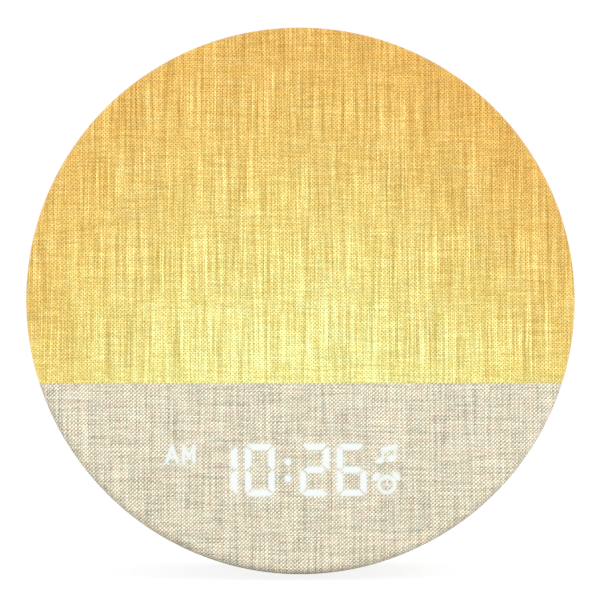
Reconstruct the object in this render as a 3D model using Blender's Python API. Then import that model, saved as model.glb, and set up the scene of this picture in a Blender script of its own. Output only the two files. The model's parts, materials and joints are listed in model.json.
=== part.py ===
"""Sunrise alarm clock: a round bedside clock with a cloth face, a wake-up lamp and a display behind it.

Run it with blender --background --python part.py, or from Blender's text editor.

Units are metres and +Z is up. The face looks along -Y and leans back. The world origin is on the table,
under the middle of the foot. Nearly every piece is drawn in the leaning frame: x to the right, y for the
depth behind the cloth's front, z up the face, with its origin at the middle of the face.
"""

import math

import bmesh
import bpy
from mathutils import Matrix, Vector

# --- Overall form -------------------------------------------------------------------------------------
FACE_RADIUS = 0.0850  # over the cloth
BODY_DEPTH = 0.0600  # from the cloth's front to the back of the rear cover
LEAN = math.radians(7.0)  # the face leans back from upright
HORIZON = -0.0266  # the line between the lamp and the display, from the face's middle
GAP = 0.0003  # between two pieces that touch
UNDER_CLEARANCE = 0.0008  # daylight under the rim and the housing
LARGE_STEPS, MEDIUM_STEPS, SMALL_STEPS = 48, 24, 12  # sides of a turned piece

# --- Cloth and front shells ---------------------------------------------------------------------------
CLOTH = 0.0007
RIM_ROLL = 0.0035  # the rounded edge of the face, over the cloth
RIM_DEPTH = 0.0130  # how far the cloth runs back over the side
TUCK = 0.0028  # how far the cloth turns in behind the shells
SHELL_FRONT = CLOTH + GAP
SHELL_PLATE = 0.0020
SHELL_SKIRT = 0.0025
SHELL_RADIUS = FACE_RADIUS - CLOTH - GAP
SKIRT_INNER = SHELL_RADIUS - SHELL_SKIRT
SKIRT_BACK = RIM_DEPTH - CLOTH - GAP
DIVIDER = 0.0015  # the opaque rib under the horizon

# --- Frame ring and the four long screws that clamp the front together ---------------------------------
FRAME_FRONT = RIM_DEPTH + GAP
FRAME_THICKNESS = 0.0020
FRAME_OUTER = SHELL_RADIUS - 0.0010
FRAME_WIDTH = 0.0070
CROSSBAR_HEIGHT = 0.0070
LUG_RADIUS = 0.0034
LUG_ANGLES = (38, 142, 207, 333)
SCREW_SHANK = 0.0012
SCREW_CLEARANCE = 0.0003
SCREW_HEAD = 0.0024
SCREW_HEAD_HEIGHT = 0.0017
BLIND_DEPTH = 0.0050  # where the blind bores in the front shells end

# --- Housing ------------------------------------------------------------------------------------------
HOUSING_FRONT = FRAME_FRONT + FRAME_THICKNESS + GAP
HOUSING_RADIUS = SHELL_RADIUS
HOUSING_WALL = 0.0025
HOUSING_CORNER = 0.0110
HOUSING_INNER = HOUSING_RADIUS - HOUSING_WALL
LUG_REACH = min(SKIRT_INNER, HOUSING_INNER) - 0.0030  # distance of the frame's screws from the axis
HOUSING_LUG = 0.0034
FLOOR = 0.0030  # thickness of the flat underside
LIP_WIDTH = 0.0085  # the ledge that carries the rear cover
LIP_THICKNESS = 0.0023

# --- Rear cover and what shows on it ------------------------------------------------------------------
COVER_THICKNESS = 0.0020
COVER_FRONT = BODY_DEPTH - COVER_THICKNESS
COVER_RADIUS = HOUSING_RADIUS - HOUSING_CORNER - 0.0040
COVER_EDGE = 0.0004
COVER_SCREW_REACH = COVER_RADIUS - 0.0042
COVER_SCREW_ANGLES = (45, 135, 225, 315)
COVER_SCREW_HEAD = 0.0026
COVER_SCREW_LENGTH = 0.0098
COVER_BOSS = 0.0035
COVER_BOSS_LENGTH = 0.0095

SPEAKER_Z = 0.0240
GRILLE_RADIUS = 0.0210
GRILLE_SLOT = 0.0022
GRILLE_PITCH = 0.0050
GRILLE_ROWS = 7

KNOB_X, KNOB_Z = 0.0440, -0.0040
KNOB_RADIUS = 0.0110
KNOB_HEIGHT = 0.0090
KNOB_LIFT = 0.0005
KNOB_RIBS = 24
KNOB_RIB_DEPTH = 0.0005
SHAFT_RADIUS = 0.0030
ENCODER_SIDE = 0.0120
ENCODER_HEIGHT = 0.0060
BUSHING_WALL = 0.0010

JACK_X, JACK_Z = 0.0220, -0.0360
JACK_SIDE = 0.0110
JACK_NOSE = 0.0047
JACK_BORE = 0.0032
JACK_BORE_DEPTH = 0.0095
JACK_PIN = 0.0010
JACK_PIN_RECESS = 0.0015
JACK_PROUD = 0.0004

SLIDER_Z = -0.0480
SLIDER_WIDTH, SLIDER_HEIGHT = 0.0040, 0.0030
SLIDER_TRAVEL = 0.0030
SLIDER_PROUD = 0.0015
SLIDER_FLANGE = 0.0010
SLIDER_LAP = 0.0025  # how far the flange reaches past the slot's opening, behind the cover
SWITCH_WIDTH, SWITCH_HEIGHT, SWITCH_DEPTH = 0.0125, 0.0062, 0.0050

DOOR_SIDE = 0.0230
BATTERY_X, BATTERY_Z = -0.0210, -0.0330
TRAY_WALL = 0.0017
TRAY_INNER = 0.0216
TRAY_FLOOR = 0.0010
TRAY_DEPTH = 0.0067
CELL_RADIUS, CELL_THICKNESS = 0.0100, 0.0032
DOOR_SCREW_OFFSET = 0.0093
DOOR_SCREW_SHANK, DOOR_SCREW_HEAD = 0.0008, 0.0016

# --- Foot ---------------------------------------------------------------------------------------------
PAD_THICKNESS = 0.0020
PAD_LENGTH = 0.0250
PAD_FRONT_WIDTH, PAD_BACK_WIDTH = 0.0200, 0.0350
PAD_DEPTH = 0.0420  # depth of the pad's middle behind the face
PAD_CORNER = 0.0030

# --- Keys on the top ----------------------------------------------------------------------------------
KEYS = (  # name, middle, width
    ("light_key", -0.0300, 0.0100),
    ("sound_key", -0.0185, 0.0100),
    ("snooze_key", 0.0000, 0.0240),
    ("alarm_key", 0.0185, 0.0100),
    ("timer_key", 0.0300, 0.0100),
)
KEY_DEPTH = 0.0300  # middle of the row, behind the face
KEY_LENGTH = 0.0140
KEY_CORNER = 0.0020
KEY_PROUD = 0.0006
KEY_TRAVEL = 0.0005
KEY_CLEARANCE = 0.00035
KEY_FLANGE = 0.0012
KEY_STEM = 0.0020
BOARD = 0.0016
KEY_BOARD_TOP = HOUSING_INNER - 0.0155
KEY_BOARD_WIDTH, KEY_BOARD_LENGTH = 0.0830, 0.0120
TACT_SIDE, TACT_HEIGHT = 0.0060, 0.0035
PLUNGER_RADIUS = 0.0015
PLUNGER_PROUD = 0.0011
PLUNGER_LENGTH = 0.0022
POST_X, POST_RADIUS = 0.0388, 0.0016

# --- Lamp ---------------------------------------------------------------------------------------------
REFLECTOR_RADIUS = LUG_REACH - LUG_RADIUS - 0.0006
REFLECTOR_WALL = 0.0015
REFLECTOR_STRAIGHT = 0.0100  # depth where the bowl starts to close
REFLECTOR_BACK = 0.0240
HEAT_SINK_THICKNESS = 0.0015
HEAT_SINK_WIDTH = 2 * (REFLECTOR_RADIUS - 0.0040)
HEAT_SINK_BACK = 0.0260
HEAT_SINK_DROP = 0.0150
LAMP_BOARD_WIDTH = 0.1100
LAMP_BOARD_DEPTHS = (0.0055, 0.0145)
LAMP_LEDS = 11
LAMP_LED_PITCH = 0.0096
LAMP_LED_SIDE, LAMP_LED_HEIGHT = 0.0050, 0.0016

# --- Display ------------------------------------------------------------------------------------------
DISPLAY_X, DISPLAY_Z = -0.0055, -0.0533
WINDOW_WIDTH, WINDOW_HEIGHT = 0.0840, 0.0215
WINDOW_CORNER = 0.0020
WINDOW_FLANGE = 0.0015
WINDOW_LEDGE = 0.0010
DIGIT_WIDTH, DIGIT_HEIGHT = 0.0095, 0.0164
DIGIT_STROKE = 0.0020
DIGIT_GAP = 0.0005
DIGIT_CHAMFER = 0.0012
DIGITS_X = (-0.0127, 0.0041, 0.0158)
LEADING_ONE_X = -0.02525  # middle of a whole digit of which only the right side is built
COLON_X = -0.0040
COLON_RISE = 0.0026
COLON_DOT = 0.0022
SYMBOLS = (  # x, rise above the display's middle, width, height of a light well
    (-0.0400, 0.0048, 0.0046, 0.0062),
    (-0.0347, 0.0048, 0.0050, 0.0062),
    (0.0265, 0.0047, 0.0076, 0.0072),
    (0.0265, -0.0044, 0.0090, 0.0076),
)
WELLS_DEPTH = RIM_DEPTH - 0.0066  # the display ends in front of the frame
DISPLAY_BOARD_WIDTH, DISPLAY_BOARD_HEIGHT = 0.0820, 0.0235
EAR_REACH, EAR_HEIGHT = 0.0495, 0.0080
EAR_RISE = 0.0063
POST_OFFSET = 0.0465
STAKE_RADIUS = 0.0010

# --- Speaker ------------------------------------------------------------------------------------------
SPEAKER_RADIUS = 0.0280
BASKET_MOUTH = 0.0240
BASKET_SHEET = 0.0010
BASKET_DEPTH = 0.0130
GASKET = 0.0008
CONE_RADIUS = 0.0205
CONE_DEPTH = 0.0070
CONE_SHEET = 0.0005
SURROUND_SHEET = 0.0004
CONE_TRAVEL = 0.0008
COIL_RADIUS, COIL_WALL, COIL_LENGTH = 0.0076, 0.0006, 0.0110
MAGNET_RADIUS, MAGNET_BORE, MAGNET_HEIGHT = 0.0175, 0.0095, 0.0054
PLATE_RADIUS, PLATE_BORE, PLATE_HEIGHT = 0.0165, 0.0081, 0.0020
YOKE_RADIUS, YOKE_BASE, POLE_RADIUS = 0.0165, 0.0022, 0.0065

# --- Main board ---------------------------------------------------------------------------------------
MAIN_BOARD_BACK = BODY_DEPTH - 0.0184  # the face that the controls stand on
MAIN_BOARD_WIDTH = 0.1000
MAIN_BOARD_TOP, MAIN_BOARD_BOTTOM = 0.0040, -0.0520
STANDOFF_RADIUS = 0.0030
STANDOFFS = ((-0.0300, 0.0000), (0.0300, 0.0000), (-0.0420, -0.0280), (0.0420, -0.0280))

# --- Worked out from the above ------------------------------------------------------------------------
FACE_HEIGHT = UNDER_CLEARANCE + RIM_DEPTH * math.sin(LEAN) + FACE_RADIUS * math.cos(LEAN)
WINDOW = (DISPLAY_X, DISPLAY_Z)
LIP_INNER = COVER_RADIUS + GAP - LIP_WIDTH
LIP_BACK = COVER_FRONT - GAP
FRAME_BACK = FRAME_FRONT + FRAME_THICKNESS


def level_in_lean(height, depth):
    """z in the leaning frame of a point at that height over the table, at that depth."""
    return (depth * math.sin(LEAN) - FACE_HEIGHT + height) / math.cos(LEAN)


FACE_Y = -(PAD_DEPTH * math.cos(LEAN) + level_in_lean(0, PAD_DEPTH) * math.sin(LEAN))


# --- Making and placing pieces ------------------------------------------------------------------------
def clear_scene():
    for obj in list(bpy.data.objects):
        bpy.data.objects.remove(obj)


def material(name, colour, roughness, metallic=0.0):
    made = bpy.data.materials.new(name)
    made.use_nodes = True
    shader = made.node_tree.nodes["Principled BSDF"]
    shader.inputs["Base Color"].default_value = (*colour, 1.0)
    shader.inputs["Roughness"].default_value = roughness
    shader.inputs["Metallic"].default_value = metallic
    return made


def leaning_frame():
    """The empty that carries everything but the foot."""
    frame = bpy.data.objects.new("leaning_frame", None)
    frame.location = (0, FACE_Y, FACE_HEIGHT)
    frame.rotation_euler = (-LEAN, 0, 0)
    bpy.context.scene.collection.objects.link(frame)
    return frame


def piece(name, bm, finish, place=(0, 0, 0), parent="leaning"):
    """A named object from a bmesh, whose faces are turned outwards here."""
    bmesh.ops.remove_doubles(bm, verts=bm.verts, dist=1e-6)
    bmesh.ops.recalc_face_normals(bm, faces=bm.faces)
    mesh = bpy.data.meshes.new(name)
    bm.to_mesh(mesh)
    bm.free()
    mesh.shade_smooth()
    mesh.set_sharp_from_angle(angle=math.radians(35))
    if finish:
        mesh.materials.append(finish)
    obj = bpy.data.objects.new(name, mesh)
    obj.location = place
    if parent == "leaning":
        obj.parent = bpy.data.objects["leaning_frame"]
    bpy.context.scene.collection.objects.link(obj)
    return obj


def helper(bm, place=(0, 0, 0), parent="leaning"):
    """A shape that only joins or cuts another, and isn't a piece of its own."""
    obj = piece("helper", bm, None, place, parent)
    obj.hide_render = True
    obj.display_type = "WIRE"
    return obj


def combine(target, operation, shapes):
    """Joins the shapes to target, cuts them from it, or keeps what they share with it."""
    group = bpy.data.collections.new(f"{target.name}_{operation.lower()}")
    for shape in shapes:
        group.objects.link(shape)
    modifier = target.modifiers.new(operation.title(), "BOOLEAN")
    modifier.operation = operation
    modifier.operand_type = "COLLECTION"
    modifier.collection = group
    return target


def join(target, *shapes):
    return combine(target, "UNION", shapes)


def cut(target, *shapes):
    return combine(target, "DIFFERENCE", shapes)


def keep_common(target, shape):
    modifier = target.modifiers.new("Intersect", "BOOLEAN")
    modifier.operation = "INTERSECT"
    modifier.object = shape
    return target


# --- Shapes -------------------------------------------------------------------------------------------
def turned(profile, steps=LARGE_STEPS):
    """A shape turned about Y from (depth, radius) points, a closed loop unless both ends are on the axis."""
    bm = bmesh.new()
    verts = [bm.verts.new((radius, depth, 0)) for depth, radius in profile]
    for one, other in zip(verts, verts[1:]):
        bm.edges.new((one, other))
    if profile[0][1] > 0 or profile[-1][1] > 0:
        bm.edges.new((verts[-1], verts[0]))
    bmesh.ops.spin(
        bm,
        geom=verts + list(bm.edges),
        cent=(0, 0, 0),
        axis=(0, 1, 0),
        angle=2 * math.pi,
        steps=steps,
        use_merge=True,
    )
    return bm


def disc(radius, front, back, steps=MEDIUM_STEPS):
    return turned([(front, 0), (front, radius), (back, radius), (back, 0)], steps)


def ring(outer, inner, front, back, steps=MEDIUM_STEPS):
    return turned([(front, inner), (front, outer), (back, outer), (back, inner)], steps)


def arc(depth, radius, size, start, end, steps):
    """Profile points round a corner: -90 degrees faces the front, 0 the side and 90 the back."""
    angles = [math.radians(start + (end - start) * i / steps) for i in range(steps + 1)]
    return [(depth + size * math.sin(a), radius + size * math.cos(a)) for a in angles]


def box(low, high):
    bm = bmesh.new()
    bmesh.ops.create_cube(bm, size=1)
    size = [h - l for l, h in zip(low, high)]
    middle = [(h + l) / 2 for l, h in zip(low, high)]
    bmesh.ops.transform(bm, matrix=Matrix.Translation(middle) @ Matrix.Diagonal((*size, 1)), verts=bm.verts)
    return bm


def prism(outline, low, high, along="Y"):
    """An outline pushed along an axis: (x, z) points along Y, or (x, y) points along Z."""
    bm = bmesh.new()
    place = (lambda a, b: (a, low, b)) if along == "Y" else (lambda a, b: (a, b, low))
    face = bm.faces.new([bm.verts.new(place(a, b)) for a, b in outline])
    pushed = bmesh.ops.extrude_face_region(bm, geom=[face])
    step = (0, high - low, 0) if along == "Y" else (0, 0, high - low)
    bmesh.ops.translate(bm, vec=step, verts=[v for v in pushed["geom"] if isinstance(v, bmesh.types.BMVert)])
    return bm


def rounded(width, height, radius, x=0.0, z=0.0, steps=2):
    """Outline of a rectangle with round corners."""
    points = []
    for quarter, (side, rise) in enumerate(((1, 1), (-1, 1), (-1, -1), (1, -1))):
        cx, cz = x + side * (width / 2 - radius), z + rise * (height / 2 - radius)
        for i in range(steps + 1):
            angle = math.radians(90 * (quarter + i / steps))
            points.append((cx + radius * math.cos(angle), cz + radius * math.sin(angle)))
    return points


def keep_side(bm, point, normal):
    """Cuts a shape by a plane, keeps the side that the normal points to, and closes it."""
    geometry = [*bm.verts, *bm.edges, *bm.faces]
    done = bmesh.ops.bisect_plane(
        bm, geom=geometry, plane_co=point, plane_no=normal, clear_inner=True, dist=1e-7
    )
    rim = [e for e in done["geom_cut"] if isinstance(e, bmesh.types.BMEdge)]
    bmesh.ops.holes_fill(bm, edges=rim, sides=0)
    return bm


def merged(bm):
    bmesh.ops.remove_doubles(bm, verts=bm.verts, dist=1e-6)
    return bm


def around(reach, angles):
    """(x, z) places on a circle round the axis."""
    return [(reach * math.cos(math.radians(a)), reach * math.sin(math.radians(a))) for a in angles]


def tube(name, points, radius, finish, sides_resolution=2):
    """A lead along a smooth curve through the points, in the leaning frame."""
    guide = catmull_rom([Vector(p) for p in points], 5)
    curve = bpy.data.curves.new(name, "CURVE")
    curve.dimensions = "3D"
    curve.bevel_depth = radius
    curve.bevel_resolution = sides_resolution
    curve.use_fill_caps = True
    spline = curve.splines.new("POLY")
    spline.points.add(len(guide) - 1)
    for target, point in zip(spline.points, guide):
        target.co = (*point, 1)
    curve.materials.append(finish)
    obj = bpy.data.objects.new(name, curve)
    obj.parent = bpy.data.objects["leaning_frame"]
    bpy.context.scene.collection.objects.link(obj)
    return obj


def catmull_rom(points, steps):
    """Points on a smooth curve through the given ones."""
    ends = [points[0] * 2 - points[1], *points, points[-1] * 2 - points[-2]]
    smooth = []
    for a, b, c, d in zip(ends, ends[1:], ends[2:], ends[3:]):
        square, cube = a * 2 - b * 5 + c * 4 - d, b * 3 - a - c * 3 + d
        for i in range(steps):
            t = i / steps
            smooth.append((b * 2 + (c - a) * t + square * t**2 + cube * t**3) / 2)
    return [*smooth, points[-1]]


# --- Front: cloth, shells, frame ----------------------------------------------------------------------
def build_cloth(finish):
    roll_centre = (RIM_ROLL, FACE_RADIUS - RIM_ROLL)
    turn = CLOTH + 0.0001
    outside = arc(*roll_centre, RIM_ROLL, -90, 0, 4)
    back_turn = arc(RIM_DEPTH - turn, FACE_RADIUS - turn, turn, 0, 90, 2)
    inside = arc(*roll_centre, RIM_ROLL - CLOTH, 0, -90, 4)
    profile = [
        (0, 0),
        *outside,
        *back_turn,
        (RIM_DEPTH, FACE_RADIUS - TUCK),
        (RIM_DEPTH - CLOTH, FACE_RADIUS - TUCK),
        (RIM_DEPTH - CLOTH, FACE_RADIUS - CLOTH),
        *inside,
        (CLOTH, 0),
    ]
    return piece("fabric_cover", turned(profile), finish)


def shell_dish():
    """The whole front dish, before the horizon parts it into diffuser and faceplate."""
    roll = RIM_ROLL - SHELL_FRONT
    back_of_plate = SHELL_FRONT + SHELL_PLATE
    profile = [
        (SHELL_FRONT, 0),
        *arc(SHELL_FRONT + roll, SHELL_RADIUS - roll, roll, -90, 0, 3),
        (SKIRT_BACK, SHELL_RADIUS),
        (SKIRT_BACK, SKIRT_INNER),
        (back_of_plate + 0.0010, SKIRT_INNER),
        (back_of_plate, SKIRT_INNER - 0.0010),
        (back_of_plate, 0),
    ]
    return merged(turned(profile))


def shell_lugs(angles):
    back_of_plate = SHELL_FRONT + SHELL_PLATE
    places = around(LUG_REACH, angles)
    lugs = [helper(disc(LUG_RADIUS, back_of_plate - 0.0005, RIM_DEPTH, 16), (x, 0, z)) for x, z in places]
    bore = SCREW_SHANK + SCREW_CLEARANCE
    bores = [helper(disc(bore, BLIND_DEPTH, RIM_DEPTH + 0.001, SMALL_STEPS), (x, 0, z)) for x, z in places]
    return lugs, bores


def build_diffuser(finish):
    dish = keep_side(shell_dish(), (0, 0, HORIZON + GAP / 2), (0, 0, 1))
    diffuser = piece("upper_diffuser", dish, finish)
    lugs, bores = shell_lugs(LUG_ANGLES[:2])
    join(diffuser, *lugs)
    return cut(diffuser, *bores)


def display_posts():
    """(x, z) of the two posts that carry the display board."""
    return [(DISPLAY_X + side * POST_OFFSET, DISPLAY_Z + EAR_RISE) for side in (-1, 1)]


def build_faceplate(finish):
    top = HORIZON - GAP / 2
    dish = keep_side(shell_dish(), (0, 0, top), (0, 0, -1))
    faceplate = piece("lower_faceplate", dish, finish)
    lugs, bores = shell_lugs(LUG_ANGLES[2:])
    half = math.sqrt(SKIRT_INNER**2 - top**2)
    rib = box((-half, SHELL_FRONT + 0.0005, top - DIVIDER), (half, SKIRT_BACK - 0.0005, top - 0.0001))
    posts = []
    board_front = display_board_front()
    for x, z in display_posts():
        posts.append(helper(disc(0.0025, SHELL_FRONT + 0.0005, board_front - GAP, SMALL_STEPS), (x, 0, z)))
        posts.append(helper(disc(STAKE_RADIUS, 0.0060, board_front + BOARD + 0.0010, SMALL_STEPS), (x, 0, z)))
    join(faceplate, *lugs, helper(rib), *posts)
    outline = rounded(WINDOW_WIDTH, WINDOW_HEIGHT, WINDOW_CORNER, *WINDOW)
    opening = helper(prism(outline, SHELL_FRONT - 0.001, SHELL_FRONT + SHELL_PLATE + 0.001))
    return cut(faceplate, opening, *bores)


def build_window(finish):
    ledge_front = SHELL_FRONT + SHELL_PLATE + GAP
    plug = rounded(WINDOW_WIDTH - 2 * GAP, WINDOW_HEIGHT - 2 * GAP, WINDOW_CORNER - GAP, *WINDOW)
    window = piece("display_window", prism(plug, SHELL_FRONT + 0.0002, ledge_front + 0.0005), finish)
    wide, high = WINDOW_WIDTH + WINDOW_FLANGE, WINDOW_HEIGHT + WINDOW_FLANGE
    ledge = rounded(wide, high, WINDOW_CORNER, *WINDOW)
    return join(window, helper(prism(ledge, ledge_front, ledge_front + WINDOW_LEDGE)))


def build_frame(finish):
    frame = piece(
        "mid_frame",
        ring(FRAME_OUTER, FRAME_OUTER - FRAME_WIDTH, FRAME_FRONT, FRAME_BACK, LARGE_STEPS),
        finish,
    )
    top = HORIZON - 0.0025
    half = math.sqrt((FRAME_OUTER - FRAME_WIDTH / 2) ** 2 - (top - CROSSBAR_HEIGHT) ** 2)
    inset = 0.0001  # keeps the bar's faces off the ring's
    bar = box(
        (-half, FRAME_FRONT + inset, top - CROSSBAR_HEIGHT), (half, FRAME_BACK - inset, top)
    )
    join(frame, helper(bar))
    bore = SCREW_SHANK + SCREW_CLEARANCE
    holes = [
        helper(disc(bore, FRAME_FRONT - 0.001, FRAME_BACK + 0.001, SMALL_STEPS), (x, 0, z))
        for x, z in around(LUG_REACH, LUG_ANGLES)
    ]
    return cut(frame, *holes)


def build_frame_screws(finish):
    head_front = HOUSING_FRONT + HOUSING_LUG + GAP
    profile = [
        (BLIND_DEPTH + 0.0005, 0),
        (BLIND_DEPTH + 0.0005, SCREW_SHANK * 0.5),
        (BLIND_DEPTH + 0.0015, SCREW_SHANK),
        (head_front, SCREW_SHANK),
        (head_front, SCREW_HEAD),
        (head_front + SCREW_HEAD_HEIGHT * 0.6, SCREW_HEAD),
        (head_front + SCREW_HEAD_HEIGHT, SCREW_HEAD * 0.6),
        (head_front + SCREW_HEAD_HEIGHT, 0),
    ]
    for number, (x, z) in enumerate(around(LUG_REACH, LUG_ANGLES), 1):
        piece(f"frame_screw_{number}", turned(profile, SMALL_STEPS), finish, (x, 0, z))


# --- Lamp ---------------------------------------------------------------------------------------------
def bowl_curve(radius, back, steps=5):
    """Profile points from the bowl's straight side to the middle of its back."""
    depth = back - REFLECTOR_STRAIGHT
    angles = [math.radians(90 * i / steps) for i in range(steps)]
    curve = [(REFLECTOR_STRAIGHT + depth * math.sin(a), radius * math.cos(a)) for a in angles]
    return [*curve, (back, 0)]


def build_lamp_reflector(finish):
    front = SHELL_FRONT + SHELL_PLATE + GAP
    outside = bowl_curve(REFLECTOR_RADIUS, REFLECTOR_BACK)
    inside = bowl_curve(REFLECTOR_RADIUS - REFLECTOR_WALL, REFLECTOR_BACK - REFLECTOR_WALL)
    profile = [
        *inside[::-1],
        (front, REFLECTOR_RADIUS - REFLECTOR_WALL),
        (front, REFLECTOR_RADIUS),
        *outside,
    ]
    bowl = keep_side(merged(turned(profile)), (0, 0, heat_sink_top() + GAP), (0, 0, 1))
    return piece("lamp_reflector", bowl, finish)


def heat_sink_top():
    return HORIZON + GAP / 2 + HEAT_SINK_THICKNESS


def build_heat_sink(finish):
    top, half = heat_sink_top(), HEAT_SINK_WIDTH / 2
    bottom = top - HEAT_SINK_THICKNESS
    front = SHELL_FRONT + SHELL_PLATE + GAP
    shelf = piece("lamp_heat_sink", box((-half, front, bottom), (half, HEAT_SINK_BACK, top)), finish)
    flange_front = HEAT_SINK_BACK - HEAT_SINK_THICKNESS
    edge = half - 0.0005
    low = (-edge, flange_front, bottom - HEAT_SINK_DROP)
    flange = box(low, (edge, HEAT_SINK_BACK - 0.0001, top - 0.0005))
    return join(shelf, helper(flange))


def build_lamp_board(finish):
    front, back = LAMP_BOARD_DEPTHS
    bottom = heat_sink_top() + GAP
    half = LAMP_BOARD_WIDTH / 2
    board = piece("lamp_board", box((-half, front, bottom), (half, back, bottom + BOARD)), finish)
    middle, side = (front + back) / 2, LAMP_LED_SIDE / 2
    leds = []
    for i in range(LAMP_LEDS):
        x = (i - (LAMP_LEDS - 1) / 2) * LAMP_LED_PITCH
        low = (x - side, middle - side, bottom + BOARD - 0.0002)
        leds.append(helper(box(low, (x + side, middle + side, bottom + BOARD + LAMP_LED_HEIGHT))))
    return join(board, *leds)


# --- Display ------------------------------------------------------------------------------------------
def wells_front():
    return SHELL_FRONT + SHELL_PLATE + GAP + WINDOW_LEDGE + GAP


def display_board_front():
    return wells_front() + WELLS_DEPTH + GAP


def digit_segments(width=DIGIT_WIDTH, height=DIGIT_HEIGHT):
    """The seven segments of a digit as (x, z) outlines round its middle: a to g, clockwise from the top."""
    w, h, t, g, c = width / 2, height / 2, DIGIT_STROKE, DIGIT_GAP / 2, DIGIT_CHAMFER
    top = [
        (-w + g + c, h),
        (w - g - c, h),
        (w - g - c / 2, h - c / 2),
        (w - g - t, h - t),
        (-w + g + t, h - t),
        (-w + g + c / 2, h - c / 2),
    ]
    upper_right = [
        (w, h - g - c),
        (w - c / 2, h - g - c / 2),
        (w - t, h - g - t),
        (w - t, t / 2 + g),
        (w - t / 2, g),
        (w, g),
    ]
    middle = [
        (-w + t / 2 + g, 0),
        (-w + t + g, t / 2),
        (w - t - g, t / 2),
        (w - t / 2 - g, 0),
        (w - t - g, -t / 2),
        (-w + t + g, -t / 2),
    ]

    def flipped(outline, x, z):
        return [(x * a, z * b) for a, b in outline]

    return [
        top,
        upper_right,
        flipped(upper_right, 1, -1),
        flipped(top, 1, -1),
        flipped(upper_right, -1, -1),
        flipped(upper_right, -1, 1),
        middle,
    ]


def well_outlines():
    """Every light well of the display, as (x, z) outlines in the leaning frame."""
    digit = digit_segments()
    shapes = [(outline, x, 0) for x in DIGITS_X for outline in digit]
    shapes += [(outline, LEADING_ONE_X, 0) for outline in digit[1:3]]
    dot = rounded(COLON_DOT, COLON_DOT, COLON_DOT * 0.3, steps=1)
    shapes += [(dot, COLON_X, rise) for rise in (-COLON_RISE, COLON_RISE)]
    shapes += [(rounded(w, h, 0.0006, steps=1), x, rise) for x, rise, w, h in SYMBOLS]
    return [[(x + a, DISPLAY_Z + rise + b) for a, b in outline] for outline, x, rise in shapes]


def build_display_reflector(finish):
    front, back = wells_front(), wells_front() + WELLS_DEPTH
    outline = rounded(WINDOW_WIDTH, WINDOW_HEIGHT, WINDOW_CORNER, *WINDOW)
    block = piece("display_reflector", prism(outline, front, back), finish)
    wells = [helper(prism(outline, front - 0.001, back + 0.001)) for outline in well_outlines()]
    return cut(block, *wells)


def build_display_board(finish):
    front = display_board_front()
    back = front + BOARD
    wide, high = DISPLAY_BOARD_WIDTH / 2, DISPLAY_BOARD_HEIGHT / 2
    low, top = (DISPLAY_X - wide, front, DISPLAY_Z - high), (DISPLAY_X + wide, back, DISPLAY_Z + high)
    board = piece("display_board", box(low, top), finish)
    ear_z = DISPLAY_Z + EAR_RISE
    ears = box(
        (DISPLAY_X - EAR_REACH, front + 0.0001, ear_z - EAR_HEIGHT / 2),
        (DISPLAY_X + EAR_REACH, back - 0.0001, ear_z + EAR_HEIGHT / 2),
    )
    join(board, helper(ears))
    hole = STAKE_RADIUS + GAP
    holes = [
        helper(disc(hole, front - 0.001, back + 0.001, SMALL_STEPS), (x, 0, z)) for x, z in display_posts()
    ]
    return cut(board, *holes)


# --- Housing and foot ---------------------------------------------------------------------------------
def table_plane(height):
    """A point and an upward normal, in the leaning frame, of the level plane that high over the table."""
    return (0, 0, level_in_lean(height, 0)), (0, -math.sin(LEAN), math.cos(LEAN))


def housing_solid():
    """The housing's outer form, filled."""
    corner = BODY_DEPTH - HOUSING_CORNER
    profile = [
        (HOUSING_FRONT, 0),
        (HOUSING_FRONT, HOUSING_RADIUS),
        *arc(corner, HOUSING_RADIUS - HOUSING_CORNER, HOUSING_CORNER, 0, 90, 5),
        (BODY_DEPTH, 0),
    ]
    return keep_side(merged(turned(profile)), *table_plane(UNDER_CLEARANCE))


def housing_void():
    """The space inside the housing, with the seat for the rear cover."""
    corner = BODY_DEPTH - HOUSING_CORNER
    lip_front = LIP_BACK - LIP_THICKNESS
    bend = HOUSING_CORNER - HOUSING_WALL
    last = math.degrees(math.asin((lip_front - corner) / bend))
    profile = [
        (HOUSING_FRONT - 0.001, 0),
        (HOUSING_FRONT - 0.001, HOUSING_INNER),
        *arc(corner, HOUSING_RADIUS - HOUSING_CORNER, bend, 0, last, 3),
        (lip_front, LIP_INNER),
        (LIP_BACK, LIP_INNER),
        (LIP_BACK, COVER_RADIUS + GAP),
        (BODY_DEPTH + 0.001, COVER_RADIUS + GAP),
        (BODY_DEPTH + 0.001, 0),
    ]
    return keep_side(merged(turned(profile)), *table_plane(UNDER_CLEARANCE + FLOOR))


def pad_outline(grow=0.0):
    """The foot's outline on the table: narrow at the front and wide at the back, with round corners."""
    half, radius = PAD_LENGTH / 2 + grow, PAD_CORNER + grow
    front, back = PAD_FRONT_WIDTH / 2 + grow, PAD_BACK_WIDTH / 2 + grow
    points = []
    corners = ((back, half, 0), (-back, half, 90), (-front, -half, 180), (front, -half, 270))
    for x, y, start in corners:
        cx, cy = x - math.copysign(radius, x), y - math.copysign(radius, y)
        for i in range(4):
            angle = math.radians(start + 30 * i)
            points.append((cx + radius * math.cos(angle), cy + radius * math.sin(angle)))
    return points


def key_outline(width, grow=0.0):
    return rounded(width + 2 * grow, KEY_LENGTH + 2 * grow, KEY_CORNER + grow)


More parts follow.
